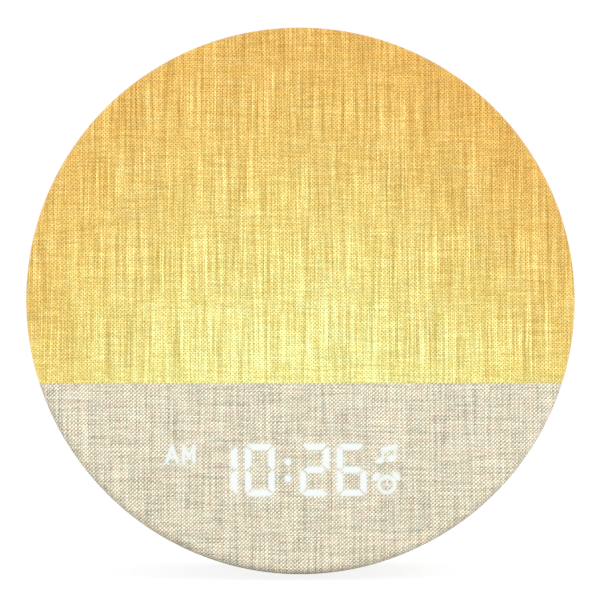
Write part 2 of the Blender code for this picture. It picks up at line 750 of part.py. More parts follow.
def build_housing(finish):
    """The drum. Its lugs, bosses and posts are left standing when the inside is cut out."""
    lugs = [
        helper(disc(LUG_RADIUS, HOUSING_FRONT + 0.0001, HOUSING_FRONT + HOUSING_LUG, 16), (x, 0, z))
        for x, z in around(LUG_REACH, LUG_ANGLES)
    ]
    bosses = [
        helper(disc(COVER_BOSS, LIP_BACK - COVER_BOSS_LENGTH, LIP_BACK - 0.0001, 16), (x, 0, z))
        for x, z in around(COVER_SCREW_REACH, COVER_SCREW_ANGLES)
    ]
    post_bottom = KEY_BOARD_TOP + GAP
    post_top = math.sqrt(HOUSING_INNER**2 - POST_X**2) + 0.0015
    post = rounded(2 * POST_RADIUS, 2 * POST_RADIUS, POST_RADIUS * 0.6)
    posts = [
        helper(prism(post, post_bottom, post_top, "Z"), (side * POST_X, KEY_DEPTH, 0)) for side in (-1, 1)
    ]
    inside = cut(helper(housing_void()), *lugs, *bosses, *posts)
    housing = piece("housing", housing_solid(), finish)

    bore = SCREW_SHANK + SCREW_CLEARANCE
    bores = [
        helper(disc(bore, HOUSING_FRONT - 0.001, HOUSING_FRONT + HOUSING_LUG + 0.001, SMALL_STEPS), (x, 0, z))
        for x, z in around(LUG_REACH, LUG_ANGLES)
    ]
    bores += [
        helper(disc(bore, LIP_BACK - COVER_BOSS_LENGTH + 0.001, LIP_BACK + 0.001, SMALL_STEPS), (x, 0, z))
        for x, z in around(COVER_SCREW_REACH, COVER_SCREW_ANGLES)
    ]
    for _, x, width in KEYS:
        below_wall = math.sqrt(HOUSING_INNER**2 - (abs(x) + width / 2 + KEY_FLANGE) ** 2) - 0.002
        window = prism(key_outline(width, KEY_CLEARANCE), below_wall, HOUSING_RADIUS + 0.002, "Z")
        bores.append(helper(window, (x, KEY_DEPTH, 0)))
    bores.append(helper(prism(pad_outline(GAP), -0.001, PAD_THICKNESS + GAP, "Z"), parent=None))
    return cut(housing, inside, *bores)


def build_foot(finish):
    return piece("foot_pad", prism(pad_outline(), 0, PAD_THICKNESS, "Z"), finish, parent=None)


# --- Keys ---------------------------------------------------------------------------------------------
def key_flange_top(x, width):
    """Highest level at which a key's flange clears the curved wall above it."""
    return math.sqrt(HOUSING_INNER**2 - (abs(x) + width / 2 + KEY_FLANGE) ** 2) - 0.0004


def build_key(name, x, width, finish):
    """A key cap with its retaining flange and stem. Its origin is on the line that it travels along."""
    flange_top = key_flange_top(x, width)
    stem_bottom = KEY_BOARD_TOP + TACT_HEIGHT + PLUNGER_PROUD + GAP
    cap = prism(key_outline(width), flange_top - 0.0005, HOUSING_RADIUS + 0.004, "Z")
    key = piece(name, cap, finish, (x, KEY_DEPTH, 0))
    top_form = helper(disc(HOUSING_RADIUS + KEY_PROUD, 0, 2 * KEY_DEPTH, 2 * LARGE_STEPS))
    keep_common(key, top_form)
    flange = prism(key_outline(width, KEY_FLANGE - 0.0002), flange_top - 0.0010, flange_top, "Z")
    stem_outline = rounded(2 * KEY_STEM, 2 * KEY_STEM, KEY_STEM * 0.6)
    stem = prism(stem_outline, stem_bottom, flange_top - 0.0004, "Z")
    place = (x, KEY_DEPTH, 0)
    return join(key, helper(flange, place), helper(stem, place))


def build_plunger(name, x, finish):
    top = KEY_BOARD_TOP + TACT_HEIGHT + PLUNGER_PROUD
    outline = [(PLUNGER_RADIUS * px, PLUNGER_RADIUS * pz) for px, pz in around(1, range(0, 360, 30))]
    return piece(name, prism(outline, top - PLUNGER_LENGTH, top, "Z"), finish, (x, KEY_DEPTH, 0))


def build_button_board(finish):
    half, edge = KEY_BOARD_WIDTH / 2, KEY_BOARD_LENGTH / 2
    low, high = (-half, KEY_DEPTH - edge, KEY_BOARD_TOP - BOARD), (half, KEY_DEPTH + edge, KEY_BOARD_TOP)
    board = piece("button_board", box(low, high), finish)
    side = TACT_SIDE / 2
    bodies, bores = [], []
    for _, x, _ in KEYS:
        low = (x - side, KEY_DEPTH - side, KEY_BOARD_TOP - 0.0002)
        high = (x + side, KEY_DEPTH + side, KEY_BOARD_TOP + TACT_HEIGHT)
        bodies.append(helper(box(low, high)))
        radius = PLUNGER_RADIUS + GAP
        outline = [(radius * px, radius * pz) for px, pz in around(1, range(0, 360, 30))]
        floor = KEY_BOARD_TOP + TACT_HEIGHT + PLUNGER_PROUD - PLUNGER_LENGTH - KEY_TRAVEL - GAP
        bore = prism(outline, floor, KEY_BOARD_TOP + TACT_HEIGHT + 0.001, "Z")
        bores.append(helper(bore, (x, KEY_DEPTH, 0)))
    join(board, *bodies)
    return cut(board, *bores)


# --- Rear cover ---------------------------------------------------------------------------------------
def grille_slots():
    """Outlines of the speaker's slots, a row for each, as long as the round grille is wide there."""
    outlines = []
    for row in range(GRILLE_ROWS):
        rise = (row - (GRILLE_ROWS - 1) / 2) * GRILLE_PITCH
        half = math.sqrt(GRILLE_RADIUS**2 - rise**2)
        outlines.append(rounded(2 * half, GRILLE_SLOT, GRILLE_SLOT * 0.499, 0, SPEAKER_Z + rise))
    return outlines


def countersink(head, shank, grow):
    """Profile of a flush screw's head and the start of its shank, grown for the hole that takes it."""
    sunk = BODY_DEPTH - 0.0002
    slope = head - shank
    return [
        (sunk + (0.002 if grow else 0), 0),
        (sunk + (0.002 if grow else 0), head + grow),
        (sunk - 0.0003, head + grow),
        (sunk - 0.0003 - slope, shank + grow),
    ]


def flush_screw(head, shank, length):
    """A countersunk screw that lies just under the cover's surface."""
    tip = BODY_DEPTH - 0.0002 - length
    point = [(tip + 0.0008, shank), (tip, shank * 0.4), (tip, 0)]
    return turned([*countersink(head, shank, 0), *point], SMALL_STEPS)


def flush_hole(head, shank):
    profile = [*countersink(head, shank, SCREW_CLEARANCE), (COVER_FRONT - 0.001, shank + SCREW_CLEARANCE)]
    return turned([*profile, (COVER_FRONT - 0.001, 0)], SMALL_STEPS)


def slider_slot():
    width = SLIDER_WIDTH + SLIDER_TRAVEL + 2 * KEY_CLEARANCE
    return rounded(width, SLIDER_HEIGHT + 2 * KEY_CLEARANCE, 0.0006, SLIDER_TRAVEL / 2, SLIDER_Z, 2)


def build_rear_cover(finish):
    profile = [
        (COVER_FRONT, 0),
        (COVER_FRONT, COVER_RADIUS),
        (BODY_DEPTH - COVER_EDGE, COVER_RADIUS),
        (BODY_DEPTH, COVER_RADIUS - COVER_EDGE),
        (BODY_DEPTH, 0),
    ]
    cover = piece("rear_cover", turned(profile), finish)
    foot = MAIN_BOARD_BACK + GAP
    standoffs = [
        helper(disc(STANDOFF_RADIUS, foot, COVER_FRONT + 0.0005, SMALL_STEPS), (x, 0, z))
        for x, z in STANDOFFS
    ]
    join(cover, *standoffs)

    front, back = COVER_FRONT - 0.001, BODY_DEPTH + 0.001
    holes = [helper(prism(outline, front, back)) for outline in grille_slots()]
    for side in (-1, 1):
        hole = disc(SHAFT_RADIUS + BUSHING_WALL, front, back, 16)
        holes.append(helper(hole, (side * KNOB_X, 0, KNOB_Z)))
    holes.append(helper(disc(JACK_NOSE + GAP, front, back, MEDIUM_STEPS), (JACK_X, 0, JACK_Z)))
    holes.append(helper(prism(slider_slot(), front, back)))
    door = DOOR_SIDE + 2 * GAP
    holes.append(helper(prism(rounded(door, door, 0.0018, BATTERY_X, BATTERY_Z), front, back)))
    for x, z in around(COVER_SCREW_REACH, COVER_SCREW_ANGLES):
        holes.append(helper(flush_hole(COVER_SCREW_HEAD, SCREW_SHANK), (x, 0, z)))
    return cut(cover, *holes)


def build_cover_screws(finish):
    for number, (x, z) in enumerate(around(COVER_SCREW_REACH, COVER_SCREW_ANGLES), 1):
        screw = flush_screw(COVER_SCREW_HEAD, SCREW_SHANK, COVER_SCREW_LENGTH)
        piece(f"cover_screw_{number}", screw, finish, (x, 0, z))


# --- Battery ------------------------------------------------------------------------------------------
def door_screw_place():
    return BATTERY_X - DOOR_SCREW_OFFSET, BATTERY_Z - DOOR_SCREW_OFFSET


def build_battery(door_finish, tray_finish, cell_finish, contact_finish, screw_finish):
    tray_back = COVER_FRONT - GAP
    tray_front = tray_back - TRAY_DEPTH
    floor_back = tray_front + TRAY_FLOOR
    outer = TRAY_INNER + 2 * TRAY_WALL
    outline = rounded(outer, outer, 0.0015, BATTERY_X, BATTERY_Z)
    tray = piece("battery_tray", prism(outline, tray_front, tray_back), tray_finish)
    hollow = rounded(TRAY_INNER, TRAY_INNER, 0.0008, BATTERY_X, BATTERY_Z, 1)
    cut(tray, helper(prism(hollow, floor_back, tray_back + 0.001)))
    x, z = door_screw_place()
    join(tray, helper(disc(0.0019, floor_back - 0.0003, tray_back - 0.0001, SMALL_STEPS), (x, 0, z)))
    bore = DOOR_SCREW_SHANK + SCREW_CLEARANCE
    cut(tray, helper(disc(bore, floor_back + 0.0005, tray_back + 0.001, SMALL_STEPS), (x, 0, z)))

    cell_front = floor_back + GAP + 0.0003
    cell_back = cell_front + CELL_THICKNESS
    cell = [
        (cell_front, 0),
        (cell_front, CELL_RADIUS - 0.0012),
        (cell_front + 0.0006, CELL_RADIUS),
        (cell_back, CELL_RADIUS),
        (cell_back, 0),
    ]
    piece(
        "coin_cell",
        turned(cell, MEDIUM_STEPS),
        cell_finish,
        (BATTERY_X, 0, BATTERY_Z),
    )
    strip = (cell_back + GAP, cell_back + GAP + 0.0004)
    contact = rounded(0.0050, 0.0170, 0.0015, BATTERY_X, BATTERY_Z, 2)
    piece("battery_contact", prism(contact, *strip), contact_finish)

    door_outline = rounded(DOOR_SIDE, DOOR_SIDE, 0.0015, BATTERY_X, BATTERY_Z)
    door = piece("battery_door", prism(door_outline, COVER_FRONT, BODY_DEPTH), door_finish)
    cut(door, helper(flush_hole(DOOR_SCREW_HEAD, DOOR_SCREW_SHANK), (x, 0, z)))
    length = BODY_DEPTH - 0.0002 - floor_back - 0.0010
    door_screw = flush_screw(DOOR_SCREW_HEAD, DOOR_SCREW_SHANK, length)
    piece("battery_door_screw", door_screw, screw_finish, (x, 0, z))


# --- Main board and its controls ----------------------------------------------------------------------
def build_main_board(finish):
    front = MAIN_BOARD_BACK - BOARD
    half = MAIN_BOARD_WIDTH / 2
    low, high = (-half, front, MAIN_BOARD_BOTTOM), (half, MAIN_BOARD_BACK, MAIN_BOARD_TOP)
    board = piece("main_board", box(low, high), finish)
    face = front + 0.0002  # parts on the front face sink a little into the board
    parts = (
        box((-0.0140, front - 0.0018, -0.0300), (0.0020, face, -0.0140)),
        box((0.0120, front - 0.0014, -0.0180), (0.0210, face, -0.0080)),
        box((-0.0300, front - 0.0050, -0.0160), (-0.0200, face, -0.0110)),
        box((0.0330, front - 0.0050, -0.0200), (0.0430, face, -0.0150)),
        box((-0.0080, front - 0.0030, -0.0480), (0.0080, face, -0.0440)),
        box((0.0240, front - 0.0040, -0.0020), (0.0340, face, 0.0030)),
    )
    can = disc(0.0040, front - 0.0090, face, MEDIUM_STEPS)
    return join(board, *[helper(part) for part in parts], helper(can, (0.0300, 0, -0.0370)))


def build_encoder(name, side, finish):
    foot = MAIN_BOARD_BACK + GAP
    half = ENCODER_SIDE / 2
    place = (side * KNOB_X, 0, KNOB_Z)
    encoder = piece(name, box((-half, foot, -half), (half, foot + ENCODER_HEIGHT, half)), finish, place)
    top = foot + ENCODER_HEIGHT
    join(encoder, helper(disc(SHAFT_RADIUS + GAP + BUSHING_WALL, top - 0.0005, top + 0.0045, 16), place))
    return cut(encoder, helper(disc(SHAFT_RADIUS + GAP, top + 0.0002, top + 0.006, 16), place))


def build_shaft(name, side, finish):
    start = MAIN_BOARD_BACK + GAP + ENCODER_HEIGHT + 0.0006
    end = BODY_DEPTH + KNOB_LIFT + KNOB_HEIGHT - 0.0026
    return piece(name, disc(SHAFT_RADIUS, start, end, 16), finish, (side * KNOB_X, 0, KNOB_Z))


def build_knob(name, side, finish):
    """A ribbed knob, hollow for its shaft. Its origin is on the axis that it turns about."""
    front, back = BODY_DEPTH + KNOB_LIFT, BODY_DEPTH + KNOB_LIFT + KNOB_HEIGHT
    outline = []
    for i in range(2 * KNOB_RIBS):
        radius = KNOB_RADIUS - (KNOB_RIB_DEPTH if i % 2 else 0)
        angle = math.pi * i / KNOB_RIBS
        outline.append((radius * math.cos(angle), radius * math.sin(angle)))
    place = (side * KNOB_X, 0, KNOB_Z)
    knob = piece(name, prism(outline, front, back), finish, place)
    domed = turned(
        [
            (front - 0.001, 0),
            (front - 0.001, KNOB_RADIUS + 0.001),
            (back - 0.0010, KNOB_RADIUS + 0.001),
            (back - 0.0010, KNOB_RADIUS - 0.0001),
            (back - 0.0001, KNOB_RADIUS - 0.0010),
            (back - 0.0001, 0),
        ],
        MEDIUM_STEPS,
    )
    keep_common(knob, helper(domed, place))
    bore_back = back - 0.0020
    return cut(knob, helper(disc(SHAFT_RADIUS + GAP, front - 0.001, bore_back, 16), place))


def build_jack(finish):
    foot, face = MAIN_BOARD_BACK + GAP, BODY_DEPTH + JACK_PROUD
    half = JACK_SIDE / 2
    place = (JACK_X, 0, JACK_Z)
    jack = piece("dc_jack", box((-half, foot, -half), (half, COVER_FRONT - GAP, half)), finish, place)
    join(jack, helper(disc(JACK_NOSE, COVER_FRONT - 0.0010, face, MEDIUM_STEPS), place))
    bore_floor = face - JACK_BORE_DEPTH
    cut(jack, helper(disc(JACK_BORE, bore_floor, face + 0.001, 16), place))
    return join(jack, helper(disc(JACK_PIN, bore_floor - 0.001, face - JACK_PIN_RECESS, SMALL_STEPS), place))


def build_alarm_switch(switch_finish, slider_finish):
    foot = MAIN_BOARD_BACK + GAP
    body_back = foot + SWITCH_DEPTH
    wide, high = SWITCH_WIDTH / 2, SWITCH_HEIGHT / 2
    middle = SLIDER_TRAVEL / 2
    low, top = (middle - wide, foot, SLIDER_Z - high), (middle + wide, body_back, SLIDER_Z + high)
    piece("alarm_switch", box(low, top), switch_finish)

    wide, high = SLIDER_WIDTH / 2, SLIDER_HEIGHT / 2
    place = (0, 0, SLIDER_Z)
    button = box((-wide, COVER_FRONT - GAP - 0.0005, -high), (wide, BODY_DEPTH + SLIDER_PROUD, high))
    slider = piece("alarm_slider", button, slider_finish, place)
    flange_back = COVER_FRONT - GAP
    flange_wide, flange_high = wide + SLIDER_LAP, high + SLIDER_LAP / 2
    flange_front = flange_back - SLIDER_FLANGE
    flange = box((-flange_wide, flange_front, -flange_high), (flange_wide, flange_back, flange_high))
    stem = box((-0.0012, body_back + GAP, -0.0012), (0.0012, flange_front + 0.0003, 0.0012))
    return join(slider, helper(flange, place), helper(stem, place))


# --- Speaker ------------------------------------------------------------------------------------------
def build_speaker(finishes):
    place = (0, 0, SPEAKER_Z)
    gasket_back = COVER_FRONT - GAP
    flange_back = gasket_back - GASKET - GAP
    flange_front = flange_back - BASKET_SHEET
    floor_back = flange_back - BASKET_DEPTH
    floor_front = floor_back - BASKET_SHEET
    neck = PLATE_RADIUS - 0.0005
    gasket = ring(SPEAKER_RADIUS, BASKET_MOUTH, gasket_back - GASKET, gasket_back)
    piece("speaker_gasket", gasket, finishes["foam"], place)
    basket = [
        (flange_back, SPEAKER_RADIUS),
        (flange_back, BASKET_MOUTH),
        (flange_back - 0.0025, BASKET_MOUTH),
        (floor_back, neck),
        (floor_back, PLATE_BORE + 0.0004),
        (floor_front, PLATE_BORE + 0.0004),
        (floor_front, neck + 0.0007),
        (flange_back - 0.0030, BASKET_MOUTH + 0.0010),
        (flange_front, BASKET_MOUTH + 0.0010),
        (flange_front, SPEAKER_RADIUS),
    ]
    piece("speaker_basket", turned(basket, MEDIUM_STEPS), finishes["steel"], place)

    plate_back = floor_front - GAP
    plate_front = plate_back - PLATE_HEIGHT
    plate = ring(PLATE_RADIUS, PLATE_BORE, plate_front, plate_back)
    piece("speaker_top_plate", plate, finishes["steel"], place)
    magnet_back = plate_front - GAP
    magnet_front = magnet_back - MAGNET_HEIGHT
    magnet = ring(MAGNET_RADIUS, MAGNET_BORE, magnet_front, magnet_back)
    piece("speaker_magnet", magnet, finishes["ferrite"], place)
    yoke_back = magnet_front - GAP
    yoke_front = yoke_back - YOKE_BASE
    yoke = [
        (yoke_front, 0),
        (yoke_front, YOKE_RADIUS),
        (yoke_back, YOKE_RADIUS),
        (yoke_back, POLE_RADIUS),
        (plate_back, POLE_RADIUS),
        (plate_back, 0),
    ]
    piece("speaker_yoke", turned(yoke, MEDIUM_STEPS), finishes["steel"], place)

    # The cone's wide end is level with the basket's mouth; its narrow end sits round the coil.
    cone_back = flange_back - 0.0006
    cone_front = cone_back - CONE_DEPTH
    coil_inner = COIL_RADIUS - COIL_WALL
    cone = [
        (cone_front, 0),
        (cone_front, COIL_RADIUS),
        (cone_back - CONE_SHEET, CONE_RADIUS),
        (cone_back, CONE_RADIUS),
        (cone_front + CONE_SHEET + 0.0004, COIL_RADIUS + 0.0004),
        (cone_front + CONE_SHEET + 0.0022, COIL_RADIUS * 0.6),
        (cone_front + CONE_SHEET + 0.0028, 0),
    ]
    piece("speaker_cone", turned(cone, MEDIUM_STEPS), finishes["paper"], place)
    coil_back = cone_front - GAP
    coil = ring(COIL_RADIUS, coil_inner, coil_back - COIL_LENGTH, coil_back)
    piece("voice_coil", coil, finishes["copper"], place)

    roll_middle = (CONE_RADIUS + BASKET_MOUTH) / 2
    roll_size = (BASKET_MOUTH - CONE_RADIUS) / 2 - GAP
    roll_depth = cone_back - CONE_SHEET
    roll = [
        *arc(roll_depth, roll_middle, roll_size, 180, 0, 4),
        *arc(roll_depth, roll_middle, roll_size - SURROUND_SHEET, 0, 180, 4),
    ]
    piece("speaker_surround", turned(roll, MEDIUM_STEPS), finishes["rubber"], place)
    spider_back = floor_back + 0.0028
    spider = [(spider_back - 0.0004, COIL_RADIUS + GAP), (spider_back, COIL_RADIUS + GAP)]
    folds, outer = 4, neck - 0.0004
    fold = (outer - COIL_RADIUS - GAP) / folds
    for i in range(1, folds + 1):
        rise = 0.0005 if i % 2 else 0
        spider.append((spider_back + rise, COIL_RADIUS + GAP + fold * i))
    for i in range(folds, 0, -1):
        rise = 0.0005 if i % 2 else 0
        spider.append((spider_back + rise - 0.0004, COIL_RADIUS + GAP + fold * i))
    piece("speaker_spider", turned(spider, MEDIUM_STEPS), finishes["cloth"], place)


# --- Leads inside -------------------------------------------------------------------------------------
def build_leads(finishes):
    board_front = MAIN_BOARD_BACK - BOARD
    tube(
        "speaker_cable",
        [
            (-0.0195, BODY_DEPTH - 0.0120, 0.0130),
            (-0.0260, BODY_DEPTH - 0.0180, 0.0120),
            (-0.0300, board_front - 0.0010, 0.0080),
            (-0.0290, board_front - 0.0040, 0.0000),
            (-0.0250, board_front - 0.0035, -0.0107),
        ],
        0.0009,
        finishes["red"],
    )
    tube(
        "lamp_cable",
        [
            (0.0500, HEAT_SINK_BACK + 0.0004 + 0.0009, HORIZON - 0.0040),
            (0.0520, HEAT_SINK_BACK + 0.0040, HORIZON - 0.0020),
            (0.0500, board_front - 0.0080, HORIZON + 0.0040),
            (0.0460, board_front - 0.0040, HORIZON + 0.0070),
            (0.0434, board_front - 0.0030, HORIZON + 0.0082),
        ],
        0.0009,
        finishes["white"],
    )
    tube(
        "key_cable",
        [
            (0.0380, KEY_DEPTH, KEY_BOARD_TOP - BOARD - GAP - 0.0010),
            (0.0420, KEY_DEPTH + 0.0010, KEY_BOARD_TOP - 0.0120),
            (0.0440, KEY_DEPTH + 0.0020, 0.0350),
            (0.0400, board_front - 0.0060, 0.0150),
            (0.0290, board_front - 0.0020, 0.0070),
            (0.0290, board_front - 0.0020, 0.0043),
        ],
        0.0010,
        finishes["white"],
    )
    build_ribbon(finishes["white"])


def build_ribbon(finish):
    """The flat lead between the display board and the main board, bowed so that the case can open."""
    start = display_board_front() + BOARD + GAP
    end = MAIN_BOARD_BACK - BOARD - 0.0030 - GAP
    steps, half, thickness, bow = 10, 0.0060, 0.0003, 0.0050
    level = -0.0460
    bm = bmesh.new()
    edges = []
    for i in range(steps + 1):
        share = i / steps
        y, z = start + (end - start) * share, level - bow * math.sin(math.pi * share)
        edges.append((y, z))
    loop = [bm.verts.new((-half, y, z)) for y, z in edges]
    loop += [bm.verts.new((-half, y, z - thickness)) for y, z in reversed(edges)]
    pushed = bmesh.ops.extrude_face_region(bm, geom=[bm.faces.new(loop)])
    far = [v for v in pushed["geom"] if isinstance(v, bmesh.types.BMVert)]
    bmesh.ops.translate(bm, vec=(2 * half, 0, 0), verts=far)
    return piece("display_ribbon", bm, finish)


# --- The clock ----------------------------------------------------------------------------------------
def main():
    clear_scene()
    leaning_frame()
    linen = material("linen", (0.70, 0.64, 0.53), 0.90)
    opal = material("opal_plastic", (0.95, 0.80, 0.42), 0.35)
    white = material("white_plastic", (0.86, 0.85, 0.82), 0.50)
    sand = material("housing_plastic", (0.80, 0.76, 0.69), 0.55)
    key_finish = material("key_plastic", (0.86, 0.83, 0.77), 0.50)
    black = material("black_plastic", (0.03, 0.03, 0.03), 0.45)
    smoked = material("smoked_acrylic", (0.08, 0.08, 0.09), 0.15)
    silicone = material("silicone", (0.45, 0.43, 0.40), 0.80)
    steel = material("zinc_steel", (0.62, 0.62, 0.60), 0.35, 1.0)
    aluminium = material("aluminium", (0.80, 0.81, 0.82), 0.40, 1.0)
    board = material("circuit_board", (0.04, 0.22, 0.10), 0.45)
    lamp_board = material("lamp_board", (0.88, 0.88, 0.86), 0.45)
    copper = material("copper_wire", (0.72, 0.36, 0.18), 0.35, 1.0)
    gold = material("gold_contact", (0.80, 0.62, 0.28), 0.30, 1.0)

    build_cloth(linen)
    build_diffuser(opal)
    build_faceplate(white)
    build_window(smoked)
    build_frame(black)
    build_frame_screws(steel)

    build_lamp_reflector(white)
    build_heat_sink(aluminium)
    build_lamp_board(lamp_board)
    build_display_reflector(white)
    build_display_board(board)

    build_housing(sand)
    build_foot(silicone)
    build_rear_cover(sand)
    build_cover_screws(steel)
    build_battery(sand, black, steel, gold, steel)

    build_button_board(board)
    for name, x, width in KEYS:
        build_key(name, x, width, key_finish)
        build_plunger(name.replace("key", "plunger"), x, black)

    build_main_board(board)
    for side, name in ((-1, "volume"), (1, "brightness")):
        build_encoder(f"{name}_encoder", side, steel)
        build_shaft(f"{name}_shaft", side, steel)
        build_knob(f"{name}_knob", side, key_finish)
    build_jack(black)
    build_alarm_switch(steel, key_finish)

    build_speaker(
        {
            "foam": material("gasket_foam", (0.05, 0.05, 0.05), 0.95),
            "steel": steel,
            "ferrite": material("ferrite", (0.10, 0.10, 0.11), 0.60),
            "paper": material("cone_paper", (0.07, 0.07, 0.07), 0.85),
            "copper": copper,
            "rubber": material("surround_rubber", (0.04, 0.04, 0.04), 0.70),
            "cloth": material("spider_cloth", (0.55, 0.40, 0.20), 0.90),
        }
    )
    build_leads(
        {
            "red": material("red_lead", (0.60, 0.05, 0.05), 0.50),
            "white": material("white_lead", (0.85, 0.85, 0.83), 0.50),
        }
    )


main()
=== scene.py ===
# %% [markdown]
# # A round bedside alarm clock
# The clock is a shallow drum that leans back a little. Its whole face is one disc of linen, stretched over
# the rim. The upper part glows like a sunrise, because a lamp shines through the cloth there, and the time
# shines through the lower part. The mechanical parts come packed as a frame. This lesson gives each of them
# its finish, and models finer pieces for all that shows.

# %% Load the frame
import json
import math

import bmesh
import bpy
import numpy as np
from mathutils import Matrix, Vector
from mathutils.geometry import delaunay_2d_cdt

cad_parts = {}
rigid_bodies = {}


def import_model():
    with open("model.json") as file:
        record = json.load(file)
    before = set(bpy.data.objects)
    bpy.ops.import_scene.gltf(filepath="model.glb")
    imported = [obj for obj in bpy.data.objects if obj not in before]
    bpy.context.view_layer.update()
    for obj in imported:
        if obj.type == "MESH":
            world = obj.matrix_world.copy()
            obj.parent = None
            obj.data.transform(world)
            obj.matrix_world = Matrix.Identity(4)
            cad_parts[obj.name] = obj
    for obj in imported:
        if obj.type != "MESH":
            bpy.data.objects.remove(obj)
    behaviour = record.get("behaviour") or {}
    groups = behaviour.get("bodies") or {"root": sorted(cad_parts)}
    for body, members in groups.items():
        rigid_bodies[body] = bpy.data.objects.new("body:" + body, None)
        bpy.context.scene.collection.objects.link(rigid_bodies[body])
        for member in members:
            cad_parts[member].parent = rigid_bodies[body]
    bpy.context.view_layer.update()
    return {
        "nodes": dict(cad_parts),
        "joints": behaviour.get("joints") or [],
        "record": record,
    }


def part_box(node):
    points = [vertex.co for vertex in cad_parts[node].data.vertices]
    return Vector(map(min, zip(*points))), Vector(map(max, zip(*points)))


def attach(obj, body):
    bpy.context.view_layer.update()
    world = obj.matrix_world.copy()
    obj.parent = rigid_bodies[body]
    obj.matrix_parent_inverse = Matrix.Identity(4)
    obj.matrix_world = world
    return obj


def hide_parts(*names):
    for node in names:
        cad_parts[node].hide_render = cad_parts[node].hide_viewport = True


for leftover in list(bpy.data.objects):
    bpy.data.objects.remove(leftover)
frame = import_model()

# %% [markdown]
# ## The leaning frame
# A clock like this is easiest to model standing upright, with the middle of its face at the origin and
# depth running along Y. The frame leans, so the lean is read from a dial's axis and the middle of the face
# from the cloth. `PLACE` then carries every finished mesh from the drawing into the frame.

# %% Where the clock stands and how far it leans
dial_axis = Vector(next(j["axis"] for j in frame["joints"] if j["name"] == "volume_turn"))
lean = math.atan2(-dial_axis.z, dial_axis.y)
UPRIGHT = Matrix.Rotation(lean, 4, "X")
cloth_points = [UPRIGHT @ v.co for v in frame["nodes"]["fabric_cover"].data.vertices]
front = min(p.y for p in cloth_points)
middle = (max(p.z for p in cloth_points) + min(p.z for p in cloth_points)) / 2
PLACE = UPRIGHT.inverted() @ Matrix.Translation((0, front, middle))
UNPLACE = PLACE.inverted()
MM = 0.001


def seat(node):
    """Lowest and highest corner of a node in the upright drawing, in metres."""
    points = [UNPLACE @ v.co for v in frame["nodes"][node].data.vertices]
    return [Vector(pick(p[i] for p in points) for i in range(3)) for pick in (min, max)]


def centre(node):
    low, high = seat(node)
    return (low + high) / 2


print("the clock leans back", round(math.degrees(lean), 2), "degrees")

# %% [markdown]
# ## Camera and light
# A long lens from about a metre away keeps the face round, as a catalogue view would. The camera
# stands a little above the middle of the face and a little to its left. A small shift places the clock in
# the picture. The light is a white room with one large soft lamp up on the right, so that the rim turns
# slightly darker towards the lower left.

# %% Camera
face_middle = PLACE @ Vector((0, 0, 0))
azimuth, elevation, distance = math.radians(-1.5), math.radians(1.0), 1.0
towards_camera = Vector(
    (
        math.sin(azimuth) * math.cos(elevation),
        -math.cos(azimuth) * math.cos(elevation),
        math.sin(elevation),
    )
)
camera = bpy.data.objects.new("camera", bpy.data.cameras.new("camera"))
camera.data.lens, camera.data.sensor_width = 194.1, 36.0
camera.data.shift_x, camera.data.shift_y = -0.0020, -0.0043
camera.location = face_middle + towards_camera * distance
camera.rotation_mode = "QUATERNION"
camera.rotation_quaternion = (-towards_camera).to_track_quat("-Z", "Y")
bpy.context.scene.collection.objects.link(camera)
bpy.context.scene.camera = camera
bpy.context.scene.view_settings.view_transform = "Standard"
print("camera at", [round(x, 3) for x in camera.location])


# %% Studio light
def area_light(name, place, size, power):
    """A square soft lamp that faces the clock."""
    lamp = bpy.data.objects.new(name, bpy.data.lights.new(name, "AREA"))
    lamp.data.size, lamp.data.energy = size, power
    lamp.location = place
    lamp.rotation_mode = "QUATERNION"
    lamp.rotation_quaternion = (face_middle - Vector(place)).to_track_quat("-Z", "Y")
    bpy.context.scene.collection.objects.link(lamp)
    return lamp


world = bpy.data.worlds.new("white room")
world.use_nodes = True
world.node_tree.nodes["Background"].inputs["Color"].default_value = (1.0, 1.0, 1.0, 1.0)
world.node_tree.nodes["Background"].inputs["Strength"].default_value = 1.02
bpy.context.scene.world = world
key = area_light("key", (0.9, -1.3, 1.5), 0.9, 9.0)
print("lights:", key.name, key.data.energy, "W")

# %% [markdown]
# ## Writing materials
# A material is a tree of nodes. Long sums are hard to read as nodes, so `Amount` lets them be written as
# ordinary sums: each sign becomes one Math node. It only saves typing. The tree is the same as one
# that was drawn by hand.


# %% Node helpers
class Amount:
    """A number that changes over a surface: an output socket that sums can be written with."""

    def __init__(self, tree, socket):
        self.tree, self.socket = tree, socket

    def math(self, operation, *others, clamp=False):
        node = self.tree.nodes.new("ShaderNodeMath")
        node.operation, node.use_clamp = operation, clamp
        for slot, value in zip(node.inputs, (self, *others)):
            set_input(self.tree, slot, value)
        return Amount(self.tree, node.outputs[0])

    def __add__(self, other):
        return self.math("ADD", other)

    def __sub__(self, other):
        return self.math("SUBTRACT", other)

    def __mul__(self, other):
        return self.math("MULTIPLY", other)

    def __truediv__(self, other):
        return self.math("DIVIDE", other)

    def ramp(self, low, high, start=0.0, end=1.0):
        """start up to low, end from high on, and a smooth change between them."""
        node = self.tree.nodes.new("ShaderNodeMapRange")
        node.interpolation_type = "SMOOTHSTEP"
        ends = {"From Min": low, "From Max": high, "To Min": start, "To Max": end}
        for name, value in {"Value": self, **ends}.items():
            set_input(self.tree, node.inputs[name], value)
        return Amount(self.tree, node.outputs["Result"])


def set_input(tree, slot, value):
    """Gives an input a value, or links what comes out of another node to it."""
    if isinstance(value, Amount):
        value = value.socket
    if isinstance(value, bpy.types.NodeSocket):
        tree.links.new(value, slot)
    elif isinstance(value, (tuple, list)) and len(value) == 3 and slot.type == "RGBA":
        slot.default_value = (*value, 1.0)
    else:
        slot.default_value = value


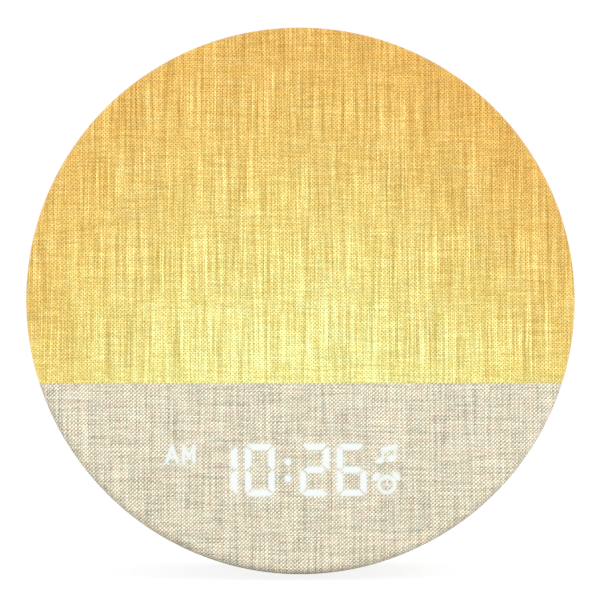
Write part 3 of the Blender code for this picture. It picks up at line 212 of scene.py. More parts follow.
def node(tree, kind, output=0, settings=(), **inputs):
    """Adds a node, sets its inputs by name (spaces written as _) and returns one output."""
    made = tree.nodes.new("ShaderNode" + kind)
    for name, value in dict(settings).items():
        setattr(made, name, value)
    for name, value in inputs.items():
        set_input(tree, made.inputs[name.replace("_", " ")], value)
    return made.outputs[output]


def amount(tree, kind, output=0, settings=(), **inputs):
    return Amount(tree, node(tree, kind, output, settings, **inputs))


def blend_colours(tree, share, first, second, way="MIX"):
    """Mixes two colours by an amount, or by a fixed share."""
    mix = tree.nodes.new("ShaderNodeMix")
    mix.data_type, mix.blend_type = "RGBA", way
    for slot, value in zip([s for s in mix.inputs if s.enabled], (share, first, second)):
        set_input(tree, slot, value)
    return next(s for s in mix.outputs if s.enabled)


def scaled(tree, colour, share):
    return node(tree, "VectorMath", settings={"operation": "SCALE"}, Vector=colour, Scale=share)


def point(tree, x, y, z=0.0):
    return node(tree, "CombineXYZ", X=x, Y=y, Z=z)


def parts_of(tree, vector):
    """The three amounts of a vector."""
    parts = tree.nodes.new("ShaderNodeSeparateXYZ")
    set_input(tree, parts.inputs[0], vector)
    return [Amount(tree, output) for output in parts.outputs]


def chance(tree, x, y):
    """A random number, 0 to 1, for each pair of whole numbers."""
    return amount(tree, "TexWhiteNoise", "Value", {"noise_dimensions": "2D"}, Vector=point(tree, x, y))


def new_group(name, inputs, outputs):
    """An empty node group with named sockets. Inputs are (name, kind, value), outputs (name, kind)."""
    tree = bpy.data.node_groups.new(name, "ShaderNodeTree")
    for label, kind, value in inputs:
        socket = tree.interface.new_socket(label, in_out="INPUT", socket_type="NodeSocket" + kind)
        if value is not None:
            socket.default_value = value
    for label, kind in outputs:
        tree.interface.new_socket(label, in_out="OUTPUT", socket_type="NodeSocket" + kind)
    entry, leave = tree.nodes.new("NodeGroupInput"), tree.nodes.new("NodeGroupOutput")
    return tree, entry.outputs, leave.inputs


def use_group(tree, group, **inputs):
    """Places a group in a tree and returns its outputs."""
    made = tree.nodes.new("ShaderNodeGroup")
    made.node_tree = group
    for name, value in inputs.items():
        set_input(tree, made.inputs[name.replace("_", " ")], value)
    return made.outputs


def new_material(name, roughness=0.5, **values):
    """A material with one Principled shader. The values are set on the shader's own sockets."""
    material = bpy.data.materials.new(name)
    material.use_nodes = True
    tree = material.node_tree
    shader = tree.nodes["Principled BSDF"]
    for label, value in {"Roughness": roughness, **values}.items():
        set_input(tree, shader.inputs[label.replace("_", " ")], value)
    return material, tree, shader.inputs


def linear(*screen):
    """A colour given as 0 to 255 screen values, as the linear light that shaders work in."""
    return tuple((c / 255 / 12.92) if c <= 10 else ((c / 255 + 0.055) / 1.055) ** 2.4 for c in screen)


print("node helpers ready")

# %% [markdown]
# ## The linen
# The cover is plain weave: each thread goes over one and under the next. The upright threads are cream and
# the level ones taupe, so the cloth looks like a fine checkerboard of pale dots, and spun linen is uneven,
# so every thread has thick and thin stretches. A picture of cloth would blur close up. Counting threads
# instead, with the whole part of a coordinate as the thread's number, stays sharp at any distance.

# %% A group that weaves
WARP_PITCH, WEFT_PITCH = 0.606 * MM, 0.575 * MM
WARP_LENGTH, WEFT_LENGTH, WANDER = 42.0, 16.0, 0.9  # thick stretches and drift, in threads


def thread_unevenness(tree, number, along, seed, length):
    """Thick and thin stretches of a thread, -1 to 1: noise, new for each thread and slow along it."""
    place = point(tree, number * 5.37 + seed, along / length, seed)
    noise = amount(tree, "TexNoise", "Fac", Vector=place, Scale=1.0, Detail=1.0, Roughness=0.5)
    return (noise - 0.5) * 3.0


def make_weave_group():
    tree, given, results = new_group(
        "plain weave",
        [("Cloth", "Vector", None)],
        [
            ("Warp On Top", "Float"),
            ("Warp Unevenness", "Float"),
            ("Weft Unevenness", "Float"),
            ("Gap Shade", "Float"),
            ("Speckle", "Float"),
            ("Height", "Float"),
        ],
    )
    across, up, _ = parts_of(tree, given["Cloth"])
    wander = node(tree, "TexNoise", "Color", Vector=given["Cloth"], Scale=160.0, Detail=1.0)
    aside, along, _ = parts_of(tree, wander)
    u = across / WARP_PITCH + (aside - 0.5) * WANDER
    v = up / WEFT_PITCH + (along - 0.5) * WANDER
    warp, weft = u.math("FLOOR"), v.math("FLOOR")
    in_warp, in_weft = u - warp - 0.5, v - weft - 0.5
    warp_ply, weft_ply = (u * 2.0).math("FLOOR"), (v * 2.0).math("FLOOR")
    even = (warp + weft).math("FLOORED_MODULO", 2.0) * -2.0 + 1.0
    warp_rise = (in_weft * math.pi).math("COSINE") * even
    weft_rise = (in_warp * math.pi).math("COSINE") * even * -1.0
    warp_height = warp_rise * 0.6 + (in_warp * math.pi).math("COSINE") * 0.8
    weft_height = weft_rise * 0.6 + (in_weft * math.pi).math("COSINE") * 0.8
    set_input(tree, results["Warp On Top"], (warp_height - weft_height).ramp(-0.45, 0.45))
    set_input(tree, results["Warp Unevenness"], thread_unevenness(tree, warp_ply, v, 3.1, WARP_LENGTH))
    set_input(tree, results["Weft Unevenness"], thread_unevenness(tree, weft_ply, u, 47.7, WEFT_LENGTH))
    # Painted shade: dark spots in the gaps between threads, which darken the linen's colour and dim the glow
    # there.
    gap = (in_warp.math("ABSOLUTE") * 2.0) * (in_weft.math("ABSOLUTE") * 2.0)
    corner = (u.math("ROUND") + v.math("ROUND")).math("FLOORED_MODULO", 2.0)
    set_input(tree, results["Gap Shade"], gap.ramp(0.15, 0.75) * corner)
    own = chance(tree, warp, weft)
    fibre_at = point(tree, across * 2.4, up)
    fibre = amount(tree, "TexNoise", "Fac", Vector=fibre_at, Scale=2400.0, Detail=1.0)
    set_input(tree, results["Speckle"], (own - 0.5) * 0.8 + (fibre - 0.5) * 6.0)
    set_input(tree, results["Height"], warp_height.math("MAXIMUM", weft_height))
    return tree


weave_group = make_weave_group()
print("weave:", [round(10 * MM / pitch, 1) for pitch in (WARP_PITCH, WEFT_PITCH)], "threads per cm")

# %% [markdown]
# ## Light behind the cloth
# Behind the cloth, an opal dish spreads the lamp's light above a level line, the horizon. The glow is pale
# yellow just over the horizon and turns to orange towards the top and the sides, as a sunrise does. Where
# threads are thick less light gets through, and blue light least of all, so thick stretches look orange.
# The emission is worked out from where a point lies on the flat cloth.

# %% Cloth material
HORIZON = -26.6 * MM
HORIZON_LIFT = 0.18 * MM  # each level thread is lit or it isn't, so the edge is ragged by a part of a thread
CREAM, TAUPE = linear(248, 243, 224), linear(190, 182, 160)
GLOW_STOPS = (
    (0.0, linear(243, 237, 153)),
    (0.36, linear(239, 218, 128)),
    (0.75, linear(237, 198, 108)),
    (1.15, linear(235, 182, 92)),
)
DISPLAY_WHITE = linear(246, 252, 250)


def make_linen():
    material, tree, shader = new_material(
        "linen", roughness=0.86, Sheen_Weight=0.18, Sheen_Roughness=0.5, Specular_IOR_Level=0.25
    )
    cloth = node(tree, "UVMap", settings={"uv_map": "cloth"})
    weave = use_group(tree, weave_group, Cloth=cloth)
    on_top, warp, weft, gap_shade, speckle, height = (Amount(tree, s) for s in weave)
    across, up, _ = parts_of(tree, cloth)

    # The yarn: two colours, thick and thin stretches, and faint warm and green patches in the dye, darkened
    # by painted shade in the gaps between threads.
    dye = amount(tree, "TexNoise", "Fac", Vector=cloth, Scale=260.0, Detail=2.0, Roughness=0.6)
    patch = blend_colours(tree, dye.ramp(0.3, 0.7), (1.04, 0.97, 0.925), (0.98, 1.01, 0.98))
    yarn = blend_colours(tree, on_top, TAUPE, CREAM)
    yarn = blend_colours(tree, 1.0, yarn, patch, "MULTIPLY")
    # The gap term is painted shade in the gaps between threads; the thread and speckle terms are the yarn's
    # own tone.
    shade = warp * 0.39 + weft * 0.34 + gap_shade * -0.38 + speckle * 0.27 + 1.08
    yarn = scaled(tree, yarn, shade)

    # How far up the sunrise a point is: 0 just over the horizon, 1 at the top and the sides.
    x, z = across * 10.0, (up - HORIZON) * 10.0
    sunrise = z * 0.98 + z * z * 0.055 + x * x * 0.80 - x * x * z * 0.17 + x * z * 0.12 - 0.105
    ramp = tree.nodes.new("ShaderNodeValToRGB")
    while len(ramp.color_ramp.elements) < len(GLOW_STOPS):
        ramp.color_ramp.elements.new(0.5)
    top = GLOW_STOPS[-1][0]
    for stop, (place, colour) in zip(ramp.color_ramp.elements, GLOW_STOPS):
        stop.position, stop.color = place / top, (*colour, 1.0)
    set_input(tree, ramp.inputs["Fac"], sunrise / top)
    thick, dots = warp * 0.54 + weft * 0.23, gap_shade * 1.10 + speckle * 0.28 - 0.035
    shares = ((0.72, 1.05), (1.0, 1.0), (1.65, 1.15))  # of red, green and blue light
    through = [(thick * -a - dots * b).math("EXPONENT") for a, b in shares]
    glow = blend_colours(tree, 1.0, ramp.outputs["Color"], point(tree, *through), "MULTIPLY")
    warmth = blend_colours(tree, dye.ramp(0.3, 0.7), (1.01, 0.97, 0.89), (0.998, 1.018, 1.07))
    glow = blend_colours(tree, 1.0, glow, warmth, "MULTIPLY")

    # The lamp lights the cloth over the horizon, and fades round the rim.
    edge = (up - HORIZON + (on_top - 0.5) * HORIZON_LIFT).ramp(-0.12 * MM, 0.12 * MM)
    from_middle = (across * across + up * up).math("SQRT")
    lamp = edge * from_middle.ramp(85 * MM, 97 * MM, 1.0, 0.12)
    display = Amount(tree, node(tree, "Attribute", "Fac", settings={"attribute_name": "display_light"}))

    own_light = blend_colours(tree, lamp, (0.0, 0.0, 0.0), glow)
    own_light = blend_colours(tree, display, own_light, DISPLAY_WHITE)
    lit = blend_colours(tree, lamp, yarn, (0.02, 0.015, 0.004))
    lit = blend_colours(tree, display, lit, (0.0, 0.0, 0.0))
    set_input(tree, shader["Base Color"], lit)
    set_input(tree, shader["Emission Color"], own_light)
    shader["Emission Strength"].default_value = 1.0
    bump = node(tree, "Bump", Height=height, Distance=0.10 * MM, Strength=0.8)
    set_input(tree, shader["Normal"], bump)
    return material


FINISHES = {"linen": make_linen()}
print("linen has", len(FINISHES["linen"].node_tree.nodes), "nodes")

# %% [markdown]
# ## What the display shows
# The display's light reaches the cloth through wells in a block, so each lit stroke is a soft-edged shape
# on the linen. The shapes are written as distances: how far a point is from a bar, a line or a ring. A
# distance makes a soft edge easy, and a faint halo. It is stored on a fine grid of vertices, as a number
# that the cloth's material reads.

# %% Shapes as distances, in millimetres
DISPLAY_MIDDLE = (0.0, -53.3)


def convex(x, z, corners):
    """A shape with straight sides, given by its corners clockwise."""
    sides = []
    for (x0, z0), (x1, z1) in zip(corners, corners[1:] + corners[:1]):
        sides.append(((x - x0) * (z0 - z1) + (z - z0) * (x1 - x0)) / math.hypot(x1 - x0, z1 - z0))
    return np.maximum.reduce(sides)


def line(x, z, start, end, half_width):
    (x0, z0), (x1, z1) = start, end
    along = ((x - x0) * (x1 - x0) + (z - z0) * (z1 - z0)) / ((x1 - x0) ** 2 + (z1 - z0) ** 2)
    along = np.clip(along, 0, 1)
    return np.hypot(x - x0 - along * (x1 - x0), z - z0 - along * (z1 - z0)) - half_width


def ellipse(x, z, middle, half_long, half_short, turn):
    c, s = math.cos(math.radians(turn)), math.sin(math.radians(turn))
    a, b = (x - middle[0]) * c + (z - middle[1]) * s, (z - middle[1]) * c - (x - middle[0]) * s
    return (np.hypot(a / half_long, b / half_short) - 1) * half_short


def ring_line(x, z, middle, radius, half_width):
    return np.abs(np.hypot(x - middle[0], z - middle[1]) - radius) - half_width


# %% The digits and symbols
DIGIT_HALF_WIDTH, DIGIT_HALF_HEIGHT, STROKE, CHAMFER, SPLIT = 4.65, 8.15, 2.15, 1.3, 0.23
STROKES_OF = {"0": "abcdef", "1": "bc", "2": "abged", "6": "acdefg"}
DIGITS = (("1", -24.35), ("0", -12.87), ("2", 4.0), ("6", 15.35))


def digit_distance(x, z, digit):
    """Distance from the lit strokes of a seven-stroke digit round the origin."""
    w, h, t, c, g = DIGIT_HALF_WIDTH, DIGIT_HALF_HEIGHT, STROKE, CHAMFER, SPLIT
    top = [(g + c - w, h), (w - g - c, h), (w - g - c / 2, h - c / 2)]
    top += [(w - g - t, h - t), (g + t - w, h - t), (g + c / 2 - w, h - c / 2)]
    side = [(w, h - g - c), (w, g), (w - t / 2, g)]
    side += [(w - t, t / 2 + g), (w - t, h - g - t), (w - c / 2, h - g - c / 2)]
    tip, flat = w - t / 2 - g, w - t - g
    bar = [(-flat, t / 2), (flat, t / 2), (tip, 0), (flat, -t / 2), (-flat, -t / 2), (-tip, 0)]
    strokes = {
        "a": convex(x, z, top),
        "b": convex(x, z, side),
        "c": convex(x, -z, side),
        "d": convex(x, -z, top),
        "e": convex(-x, -z, side),
        "f": convex(-x, z, side),
        "g": convex(x, z, bar),
    }
    return np.minimum.reduce([strokes[letter] for letter in STROKES_OF[digit]])


def display_distance(x, z):
    """Distances from the bright digits and from the dimmer signs, x and z from the display's middle."""
    bright = [digit_distance(x - place, z, digit) for digit, place in DIGITS]
    bright += [ellipse(x, z, (-4.26, rise), 1.12, 1.12, 0) for rise in (2.45, -2.6)]
    letter_a = [((-41.5, 2.5), (-39.85, 7.2)), ((-39.85, 7.2), (-38.15, 2.5)), ((-40.8, 4.0), (-38.9, 4.0))]
    letter_m = [
        ((-36.3, 2.5), (-36.3, 7.2)),
        ((-36.3, 7.2), (-34.7, 4.0)),
        ((-34.7, 4.0), (-33.1, 7.2)),
        ((-33.1, 7.2), (-33.1, 2.5)),
    ]
    dim = [line(x, z, *ends, 0.57) for ends in letter_a + letter_m]
    dim += [ellipse(x, z, (24.0, 2.75), 1.25, 0.95, 20), ellipse(x, z, (27.7, 3.5), 1.35, 1.0, 20)]
    dim += [line(x, z, (25.0, 3.0), (25.0, 6.2), 0.34), line(x, z, (28.85, 3.8), (28.85, 7.2), 0.34)]
    dim += [line(x, z, (25.1, 6.1), (28.8, 7.2), 0.80)]
    dim += [ring_line(x, z, (26.14, -4.6), 2.42, 0.60)]
    dim += [line(x, z, (26.14, -4.6), (26.14, -3.4), 0.28), line(x, z, (26.14, -4.6), (27.1, -4.9), 0.28)]
    dim += [ellipse(x, z, (23.0, -2.1), 1.5, 1.05, 40), ellipse(x, z, (29.1, -1.85), 1.5, 1.05, -40)]
    return np.minimum.reduce(bright), np.minimum.reduce(dim)


def display_light(x, z):
    """How strongly the display lights the cloth, 0 to 1: a soft edge and a faint halo."""

    def soft(distance, strength, blur):
        core = 1 / (1 + np.exp(np.clip(distance / blur, -30, 30)))
        return strength * np.maximum(core, 0.22 * np.exp(-np.maximum(distance, 0) / 0.7))

    bright, dim = display_distance(x, z)
    return np.maximum(soft(bright + 0.05, 1.0, 0.10), soft(dim, 0.94, 0.11))


print("the time is", "".join(d for d, _ in DIGITS))

# %% [markdown]
# ## The cloth's shape
# The round of linen lies flat over the face, rolls round the rim, runs back over the side and is tucked in
# behind the shells. Its section is drawn once and spun round the axis. The flat part is a fine grid where
# the display is, joined to the round by filled triangles, so that only the display costs many vertices.
# The UV map lays the cloth out flat: a point's distance from the middle is measured over the rim, so the
# threads keep their pitch there.

# %% Section of the cloth
CLOTH, ROLL, TUCK = 0.7 * MM, 2.2 * MM, 2.8 * MM
FACE_RADIUS, RIM_DEPTH = seat("fabric_cover")[1].x, seat("fabric_cover")[1].y
ROUND_STEPS = 192
GRID_SIZE, GRID_CELL, GRID_SHIFT = (81.5, 21.0), 0.28, -3.75  # mm; inside the flat round


def arc(centre_at, size, start, end, steps):
    """Points (depth, radius) round a corner. -90 degrees faces the front, 0 outwards and 90 the back."""
    angles = [math.radians(start + (end - start) * i / steps) for i in range(steps + 1)]
    return [(centre_at[0] + size * math.sin(a), centre_at[1] + size * math.cos(a)) for a in angles]


roll_centre = (ROLL, FACE_RADIUS - ROLL)
turn = CLOTH + 0.1 * MM
outer_cloth = [
    (0.0, FACE_RADIUS - ROLL - 1.5 * MM),
    *arc(roll_centre, ROLL, -90, 0, 10),
    *arc((RIM_DEPTH - turn, FACE_RADIUS - turn), turn, 0, 90, 4),
    (RIM_DEPTH, FACE_RADIUS - TUCK),
]
inner_cloth = [
    (RIM_DEPTH - CLOTH, FACE_RADIUS - TUCK),
    (RIM_DEPTH - CLOTH, FACE_RADIUS - CLOTH),
    *arc(roll_centre, ROLL - CLOTH, 0, -90, 6),
]


# %% Mesh helpers
TINY = 1e-7  # points nearer than this are one point
SQUARE = 0.99999  # a face is flat ground when its normal is this close to an axis


def spun(bm, profile, steps):
    """Spins (depth, radius) points once round Y, and welds the seam and any points on the axis."""
    verts = [bm.verts.new((radius, depth, 0)) for depth, radius in profile]
    edges = [bm.edges.new(pair) for pair in zip(verts, verts[1:])]
    bmesh.ops.spin(
        bm,
        geom=verts + edges,
        cent=(0, 0, 0),
        axis=(0, 1, 0),
        angle=2 * math.pi,
        steps=steps,
        use_merge=True,
    )
    bmesh.ops.remove_doubles(bm, verts=bm.verts, dist=TINY)


def finished(name, bm, replaced, slot, body="clock", sharp=35, placed=True):
    """Turns a bmesh into a piece that stands for a node: normals out, in place, with its finish."""
    bmesh.ops.remove_doubles(bm, verts=bm.verts, dist=TINY)
    bmesh.ops.recalc_face_normals(bm, faces=bm.faces)
    if bm.calc_volume(signed=True) < 0:
        bmesh.ops.reverse_faces(bm, faces=bm.faces)
    open_edges = sum(len(e.link_faces) != 2 for e in bm.edges)
    for face in bm.faces:
        face.smooth = max(abs(c) for c in face.normal) < SQUARE
    if placed:
        bmesh.ops.transform(bm, matrix=PLACE, verts=bm.verts)
    for edge in bm.edges:
        edge.smooth = len(edge.link_faces) == 2 and edge.calc_face_angle(0.0) < math.radians(sharp)
    mesh = bpy.data.meshes.new(name)
    triangles = sum(len(f.verts) - 2 for f in bm.faces)
    bm.to_mesh(mesh)
    bm.free()
    piece = bpy.data.objects.new(name, mesh)
    bpy.context.scene.collection.objects.link(piece)
    mesh.materials.append(FINISHES[slot])
    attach(piece, body)
    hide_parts(replaced)
    print(f"{name}: {triangles} triangles, {open_edges} open edges")
    return piece


# %% Weave the face
def flat_distance(profile):
    """For each point of the outer section, how far it is from the middle of the flat cloth."""
    lengths = [profile[0][1]]
    for (d0, r0), (d1, r1) in zip(profile, profile[1:]):
        lengths.append(lengths[-1] + math.hypot(d1 - d0, r1 - r0))
    return lengths


def cloth_map(point_on_cloth, stations):
    """Where a point of the rim lies on the flat cloth. It takes the nearest station of the section."""
    radius, depth = math.hypot(point_on_cloth.x, point_on_cloth.z), point_on_cloth.y
    if radius < stations[0][0][1] + 0.01 * MM:
        return point_on_cloth.x, point_on_cloth.z
    flat = min(stations, key=lambda s: (s[0][0] - depth) ** 2 + (s[0][1] - radius) ** 2)[1]
    return point_on_cloth.x / radius * flat, point_on_cloth.z / radius * flat


def fill_round_grid(bm, grid):
    """Fills the flat ground between the grid's border and the round's inner ring with triangles."""
    inside = set(grid)
    flat_verts = [v for v in bm.verts if abs(v.co.y) < TINY]
    ends = [v for v in flat_verts if any(len(e.link_faces) == 1 for e in v.link_edges)]
    loops = []
    for loop in ([v for v in ends if v not in inside], [v for v in ends if v in inside]):
        mid = sum((v.co for v in loop), Vector()) / len(loop)
        loops.append(sorted(loop, key=lambda v: math.atan2(v.co.z - mid.z, v.co.x - mid.x)))
    ring, border = loops
    edges = [(i, (i + 1) % len(ring)) for i in range(len(ring))]
    edges += [(len(ring) + i, len(ring) + (i + 1) % len(border)) for i in range(len(border))]
    verts = ring + border
    flat = [Vector((v.co.x, v.co.z)) / MM for v in verts]
    _, _, triangles, origins, _, _ = delaunay_2d_cdt(flat, edges, [], 0, 1e-5)
    low, high = (pick(v.co.x for v in border) for pick in (min, max))
    bottom, top = (pick(v.co.z for v in border) for pick in (min, max))
    for triangle in triangles:
        corners = [verts[origins[i][0]] for i in triangle]
        mid = sum((v.co for v in corners), Vector()) / 3
        if not (low < mid.x < high and bottom < mid.z < top):
            bm.faces.new(corners)


def make_face_cloth():
    bm = bmesh.new()
    spun(bm, [*outer_cloth, *inner_cloth, (CLOTH, 0.0)], ROUND_STEPS)
    cells = [round(size / GRID_CELL) for size in GRID_SIZE]
    grid = bmesh.ops.create_grid(bm, x_segments=cells[0], y_segments=cells[1], size=0.5)["verts"]
    bmesh.ops.scale(bm, vec=(GRID_SIZE[0] * MM, GRID_SIZE[1] * MM, 1), verts=grid)
    bmesh.ops.rotate(bm, cent=(0, 0, 0), matrix=Matrix.Rotation(math.pi / 2, 3, "X"), verts=grid)
    bmesh.ops.translate(bm, vec=(GRID_SHIFT * MM, 0, DISPLAY_MIDDLE[1] * MM), verts=grid)
    fill_round_grid(bm, grid)

    stations = list(zip(outer_cloth, flat_distance(outer_cloth)))
    inner_flat = [stations[-1][1]] * 2 + [
        flat for _, flat in reversed(stations[1:12])
    ][: len(inner_cloth) - 2]
    stations += list(zip(inner_cloth, inner_flat))
    uv = bm.loops.layers.uv.new("cloth")
    at = {v: cloth_map(v.co, stations) for v in bm.verts}
    for face in bm.faces:
        for loop in face.loops:
            loop[uv].uv = at[loop.vert]
    light = bm.verts.layers.float.new("display_light")
    verts = list(bm.verts)
    places = np.array([(v.co.x / MM - DISPLAY_MIDDLE[0], v.co.z / MM - DISPLAY_MIDDLE[1]) for v in verts])
    values = display_light(places[:, 0], places[:, 1])
    for vert, value in zip(verts, values):
        shows = vert.co.y < 0.01 * MM and abs(vert.co.x) < 60 * MM
        vert[light] = float(value) if shows and value > 0.003 else 0.0
    return bm, stations


face_mesh, cloth_stations = make_face_cloth()
face_cloth = finished("face_cloth", face_mesh, "fabric_cover", "linen", sharp=50)
flat_radius = max(flat for _, flat in cloth_stations)
2 * flat_radius
2 * flat_radius
math.pi * flat_radius**2
print("the round of linen is", round(2 * flat_radius / MM, 1), "mm across when flat")

# %% [markdown]
# ## Moulded plastic, metal and the rest
# Mouldings are never one flat colour: the mould's fine texture scatters light, the tone drifts a little,
# dust settles on faces that look up, and edges that are handled get lighter. Metal shows its rolling or
# turning marks. Each of these effects is a small group, used by many materials with its own values.


# %% Groups for grain, dust and handling
def make_grain_group():
    """Fine mould texture: a height for the bump and a slow drift of tone, about 1."""
    tree, given, results = new_group(
        "moulded grain",
        [("Grain Size", "Float", 0.35 * MM), ("Drift", "Float", 0.03)],
        [("Height", "Float"), ("Tone", "Float")],
    )
    here = node(tree, "TexCoord", "Object")
    scale = Amount(tree, given["Grain Size"]).math("POWER", -1.0)
    fine = amount(tree, "TexNoise", "Fac", Vector=here, Scale=scale, Detail=2.0, Roughness=0.65)
    slow = amount(tree, "TexNoise", "Fac", Vector=here, Scale=28.0, Detail=3.0, Roughness=0.55)
    drift = Amount(tree, given["Drift"])
    set_input(tree, results["Height"], fine)
    set_input(tree, results["Tone"], (slow - 0.5) * drift * 4.0 + (fine - 0.5) * drift + 1.0)
    return tree


def make_dust_group():
    """Dust on faces that look up, 0 to 1."""
    tree, given, results = new_group("dust", [("Amount", "Float", 0.3)], [("Mask", "Float")])
    up = parts_of(tree, node(tree, "NewGeometry", "Normal"))[2].ramp(0.35, 1.0)
    here = node(tree, "TexCoord", "Object")
    patches = amount(tree, "TexNoise", "Fac", Vector=here, Scale=160.0, Detail=4.0, Roughness=0.7)
    set_input(tree, results["Mask"], up * patches.ramp(0.35, 0.75) * given["Amount"])
    return tree


def make_wear_group():
    """Edges that are handled, 0 to 1: where the surface bends sharply, broken up by noise."""
    tree, given, results = new_group("edge wear", [("Amount", "Float", 0.4)], [("Mask", "Float")])
    bend = amount(tree, "NewGeometry", "Pointiness").ramp(0.52, 0.60)
    here = node(tree, "TexCoord", "Object")
    broken = amount(tree, "TexNoise", "Fac", Vector=here, Scale=420.0, Detail=3.0).ramp(0.35, 0.65)
    set_input(tree, results["Mask"], bend * broken * given["Amount"])
    return tree


def make_brushed_group():
    """Fine parallel marks along X, for rolled or turned metal."""
    tree, given, results = new_group(
        "brushed metal", [("Stretch", "Float", 0.04)], [("Height", "Float"), ("Tone", "Float")]
    )
    x, y, z = parts_of(tree, node(tree, "TexCoord", "Object"))
    stretched = point(tree, x * given["Stretch"], y, z)
    lines = amount(tree, "TexNoise", "Fac", Vector=stretched, Scale=6000.0, Detail=2.0)
    set_input(tree, results["Height"], lines)
    set_input(tree, results["Tone"], (lines - 0.5) * 0.35 + 1.0)
    return tree


grain_group, dust_group = make_grain_group(), make_dust_group()
wear_group, brushed_group = make_wear_group(), make_brushed_group()
print("groups:", [g.name for g in bpy.data.node_groups])

# %% [markdown]
# Each finish below starts as the same few lines: take the tone from a group, tint the colour with it, lay
# dust or wear over it, and let the same noise move the roughness and the bump. Only the values differ.


# %% Plastics, rubber and metal
DUST, WORN = linear(196, 190, 180), linear(246, 243, 238)


def moulded(name, colour, roughness, grain=0.35 * MM, depth=0.02 * MM, dust=0.25, wear=0.25, **values):
    """A moulded surface: colour, grain size and depth, dust, worn edges."""
    material, tree, shader = new_material(name, roughness=roughness, **values)
    height, tone = use_group(tree, grain_group, Grain_Size=grain)
    tinted = scaled(tree, colour, tone)
    worn = use_group(tree, wear_group, Amount=wear)[0]
    lighter = tuple(c + (w - c) * 0.35 for c, w in zip(colour, WORN))
    tinted = blend_colours(tree, worn, tinted, lighter)
    dusty = use_group(tree, dust_group, Amount=dust)[0]
    set_input(tree, shader["Base Color"], blend_colours(tree, dusty, tinted, DUST))
    rough = (Amount(tree, height) - 0.5) * 0.18 + Amount(tree, dusty) * 0.2 - Amount(tree, worn) * 0.12
    set_input(tree, shader["Roughness"], rough + roughness)
    set_input(tree, shader["Normal"], node(tree, "Bump", Height=height, Distance=depth, Strength=1.0))
    return material


def metal(name, colour, roughness, stretch=0.04, depth=0.004 * MM):
    """Bare or plated metal with fine marks."""
    material, tree, shader = new_material(name, roughness=roughness, Metallic=1.0)
    height, tone = use_group(tree, brushed_group, Stretch=stretch)
    set_input(tree, shader["Base Color"], scaled(tree, colour, tone))
    set_input(tree, shader["Roughness"], (Amount(tree, height) - 0.5) * 0.3 + roughness)
    set_input(tree, shader["Normal"], node(tree, "Bump", Height=height, Distance=depth, Strength=1.0))
    return material


def patterned(name, first, second, roughness, scale, low=0.45, high=0.55, depth=0.02 * MM, **values):
    """Two tones in soft-edged patches: foam, paper pulp, sintered grain."""
    material, tree, shader = new_material(name, roughness=roughness, **values)
    here = node(tree, "TexCoord", "Object")
    patches = amount(tree, "TexNoise", "Fac", Vector=here, Scale=scale, Detail=3.0, Roughness=0.6)
    share = patches.ramp(low, high)
    set_input(tree, shader["Base Color"], blend_colours(tree, share, first, second))
    set_input(tree, shader["Roughness"], share * 0.15 + (roughness - 0.07))
    set_input(tree, shader["Normal"], node(tree, "Bump", Height=patches, Distance=depth, Strength=1.0))
    return material


TRACK_PITCH = 1.27 * MM


def board(name, mask, track):
    """A circuit board: solder mask over a square maze of tracks, with tinned pads."""
    material, tree, shader = new_material(name, roughness=0.35, Coat_Weight=0.3)
    x, y, z = parts_of(tree, node(tree, "TexCoord", "Object"))
    across, along = x / TRACK_PITCH, (y + z) / TRACK_PITCH
    way = chance(tree, (across / 4).math("FLOOR"), (along / 3).math("FLOOR")).math("GREATER_THAN", 0.5)
    chosen = chance(tree, across.math("FLOOR"), along.math("FLOOR")).math("GREATER_THAN", 0.8)
    across, along = ((cell.math("FRACT") - 0.5).math("ABSOLUTE") for cell in (across, along))
    tracks = (across + (along - across) * way).ramp(0.16, 0.20, 1.0, 0.0)
    pads = (across * across + along * along).ramp(0.03, 0.045, 1.0, 0.0)
    pads = pads * chosen
    colour = blend_colours(tree, tracks, mask, track)
    set_input(tree, shader["Base Color"], blend_colours(tree, pads, colour, linear(206, 204, 198)))
    set_input(tree, shader["Metallic"], pads)
    raised = node(tree, "Bump", Height=tracks + pads, Distance=0.03 * MM, Strength=1.0)
    set_input(tree, shader["Normal"], raised)
    return material


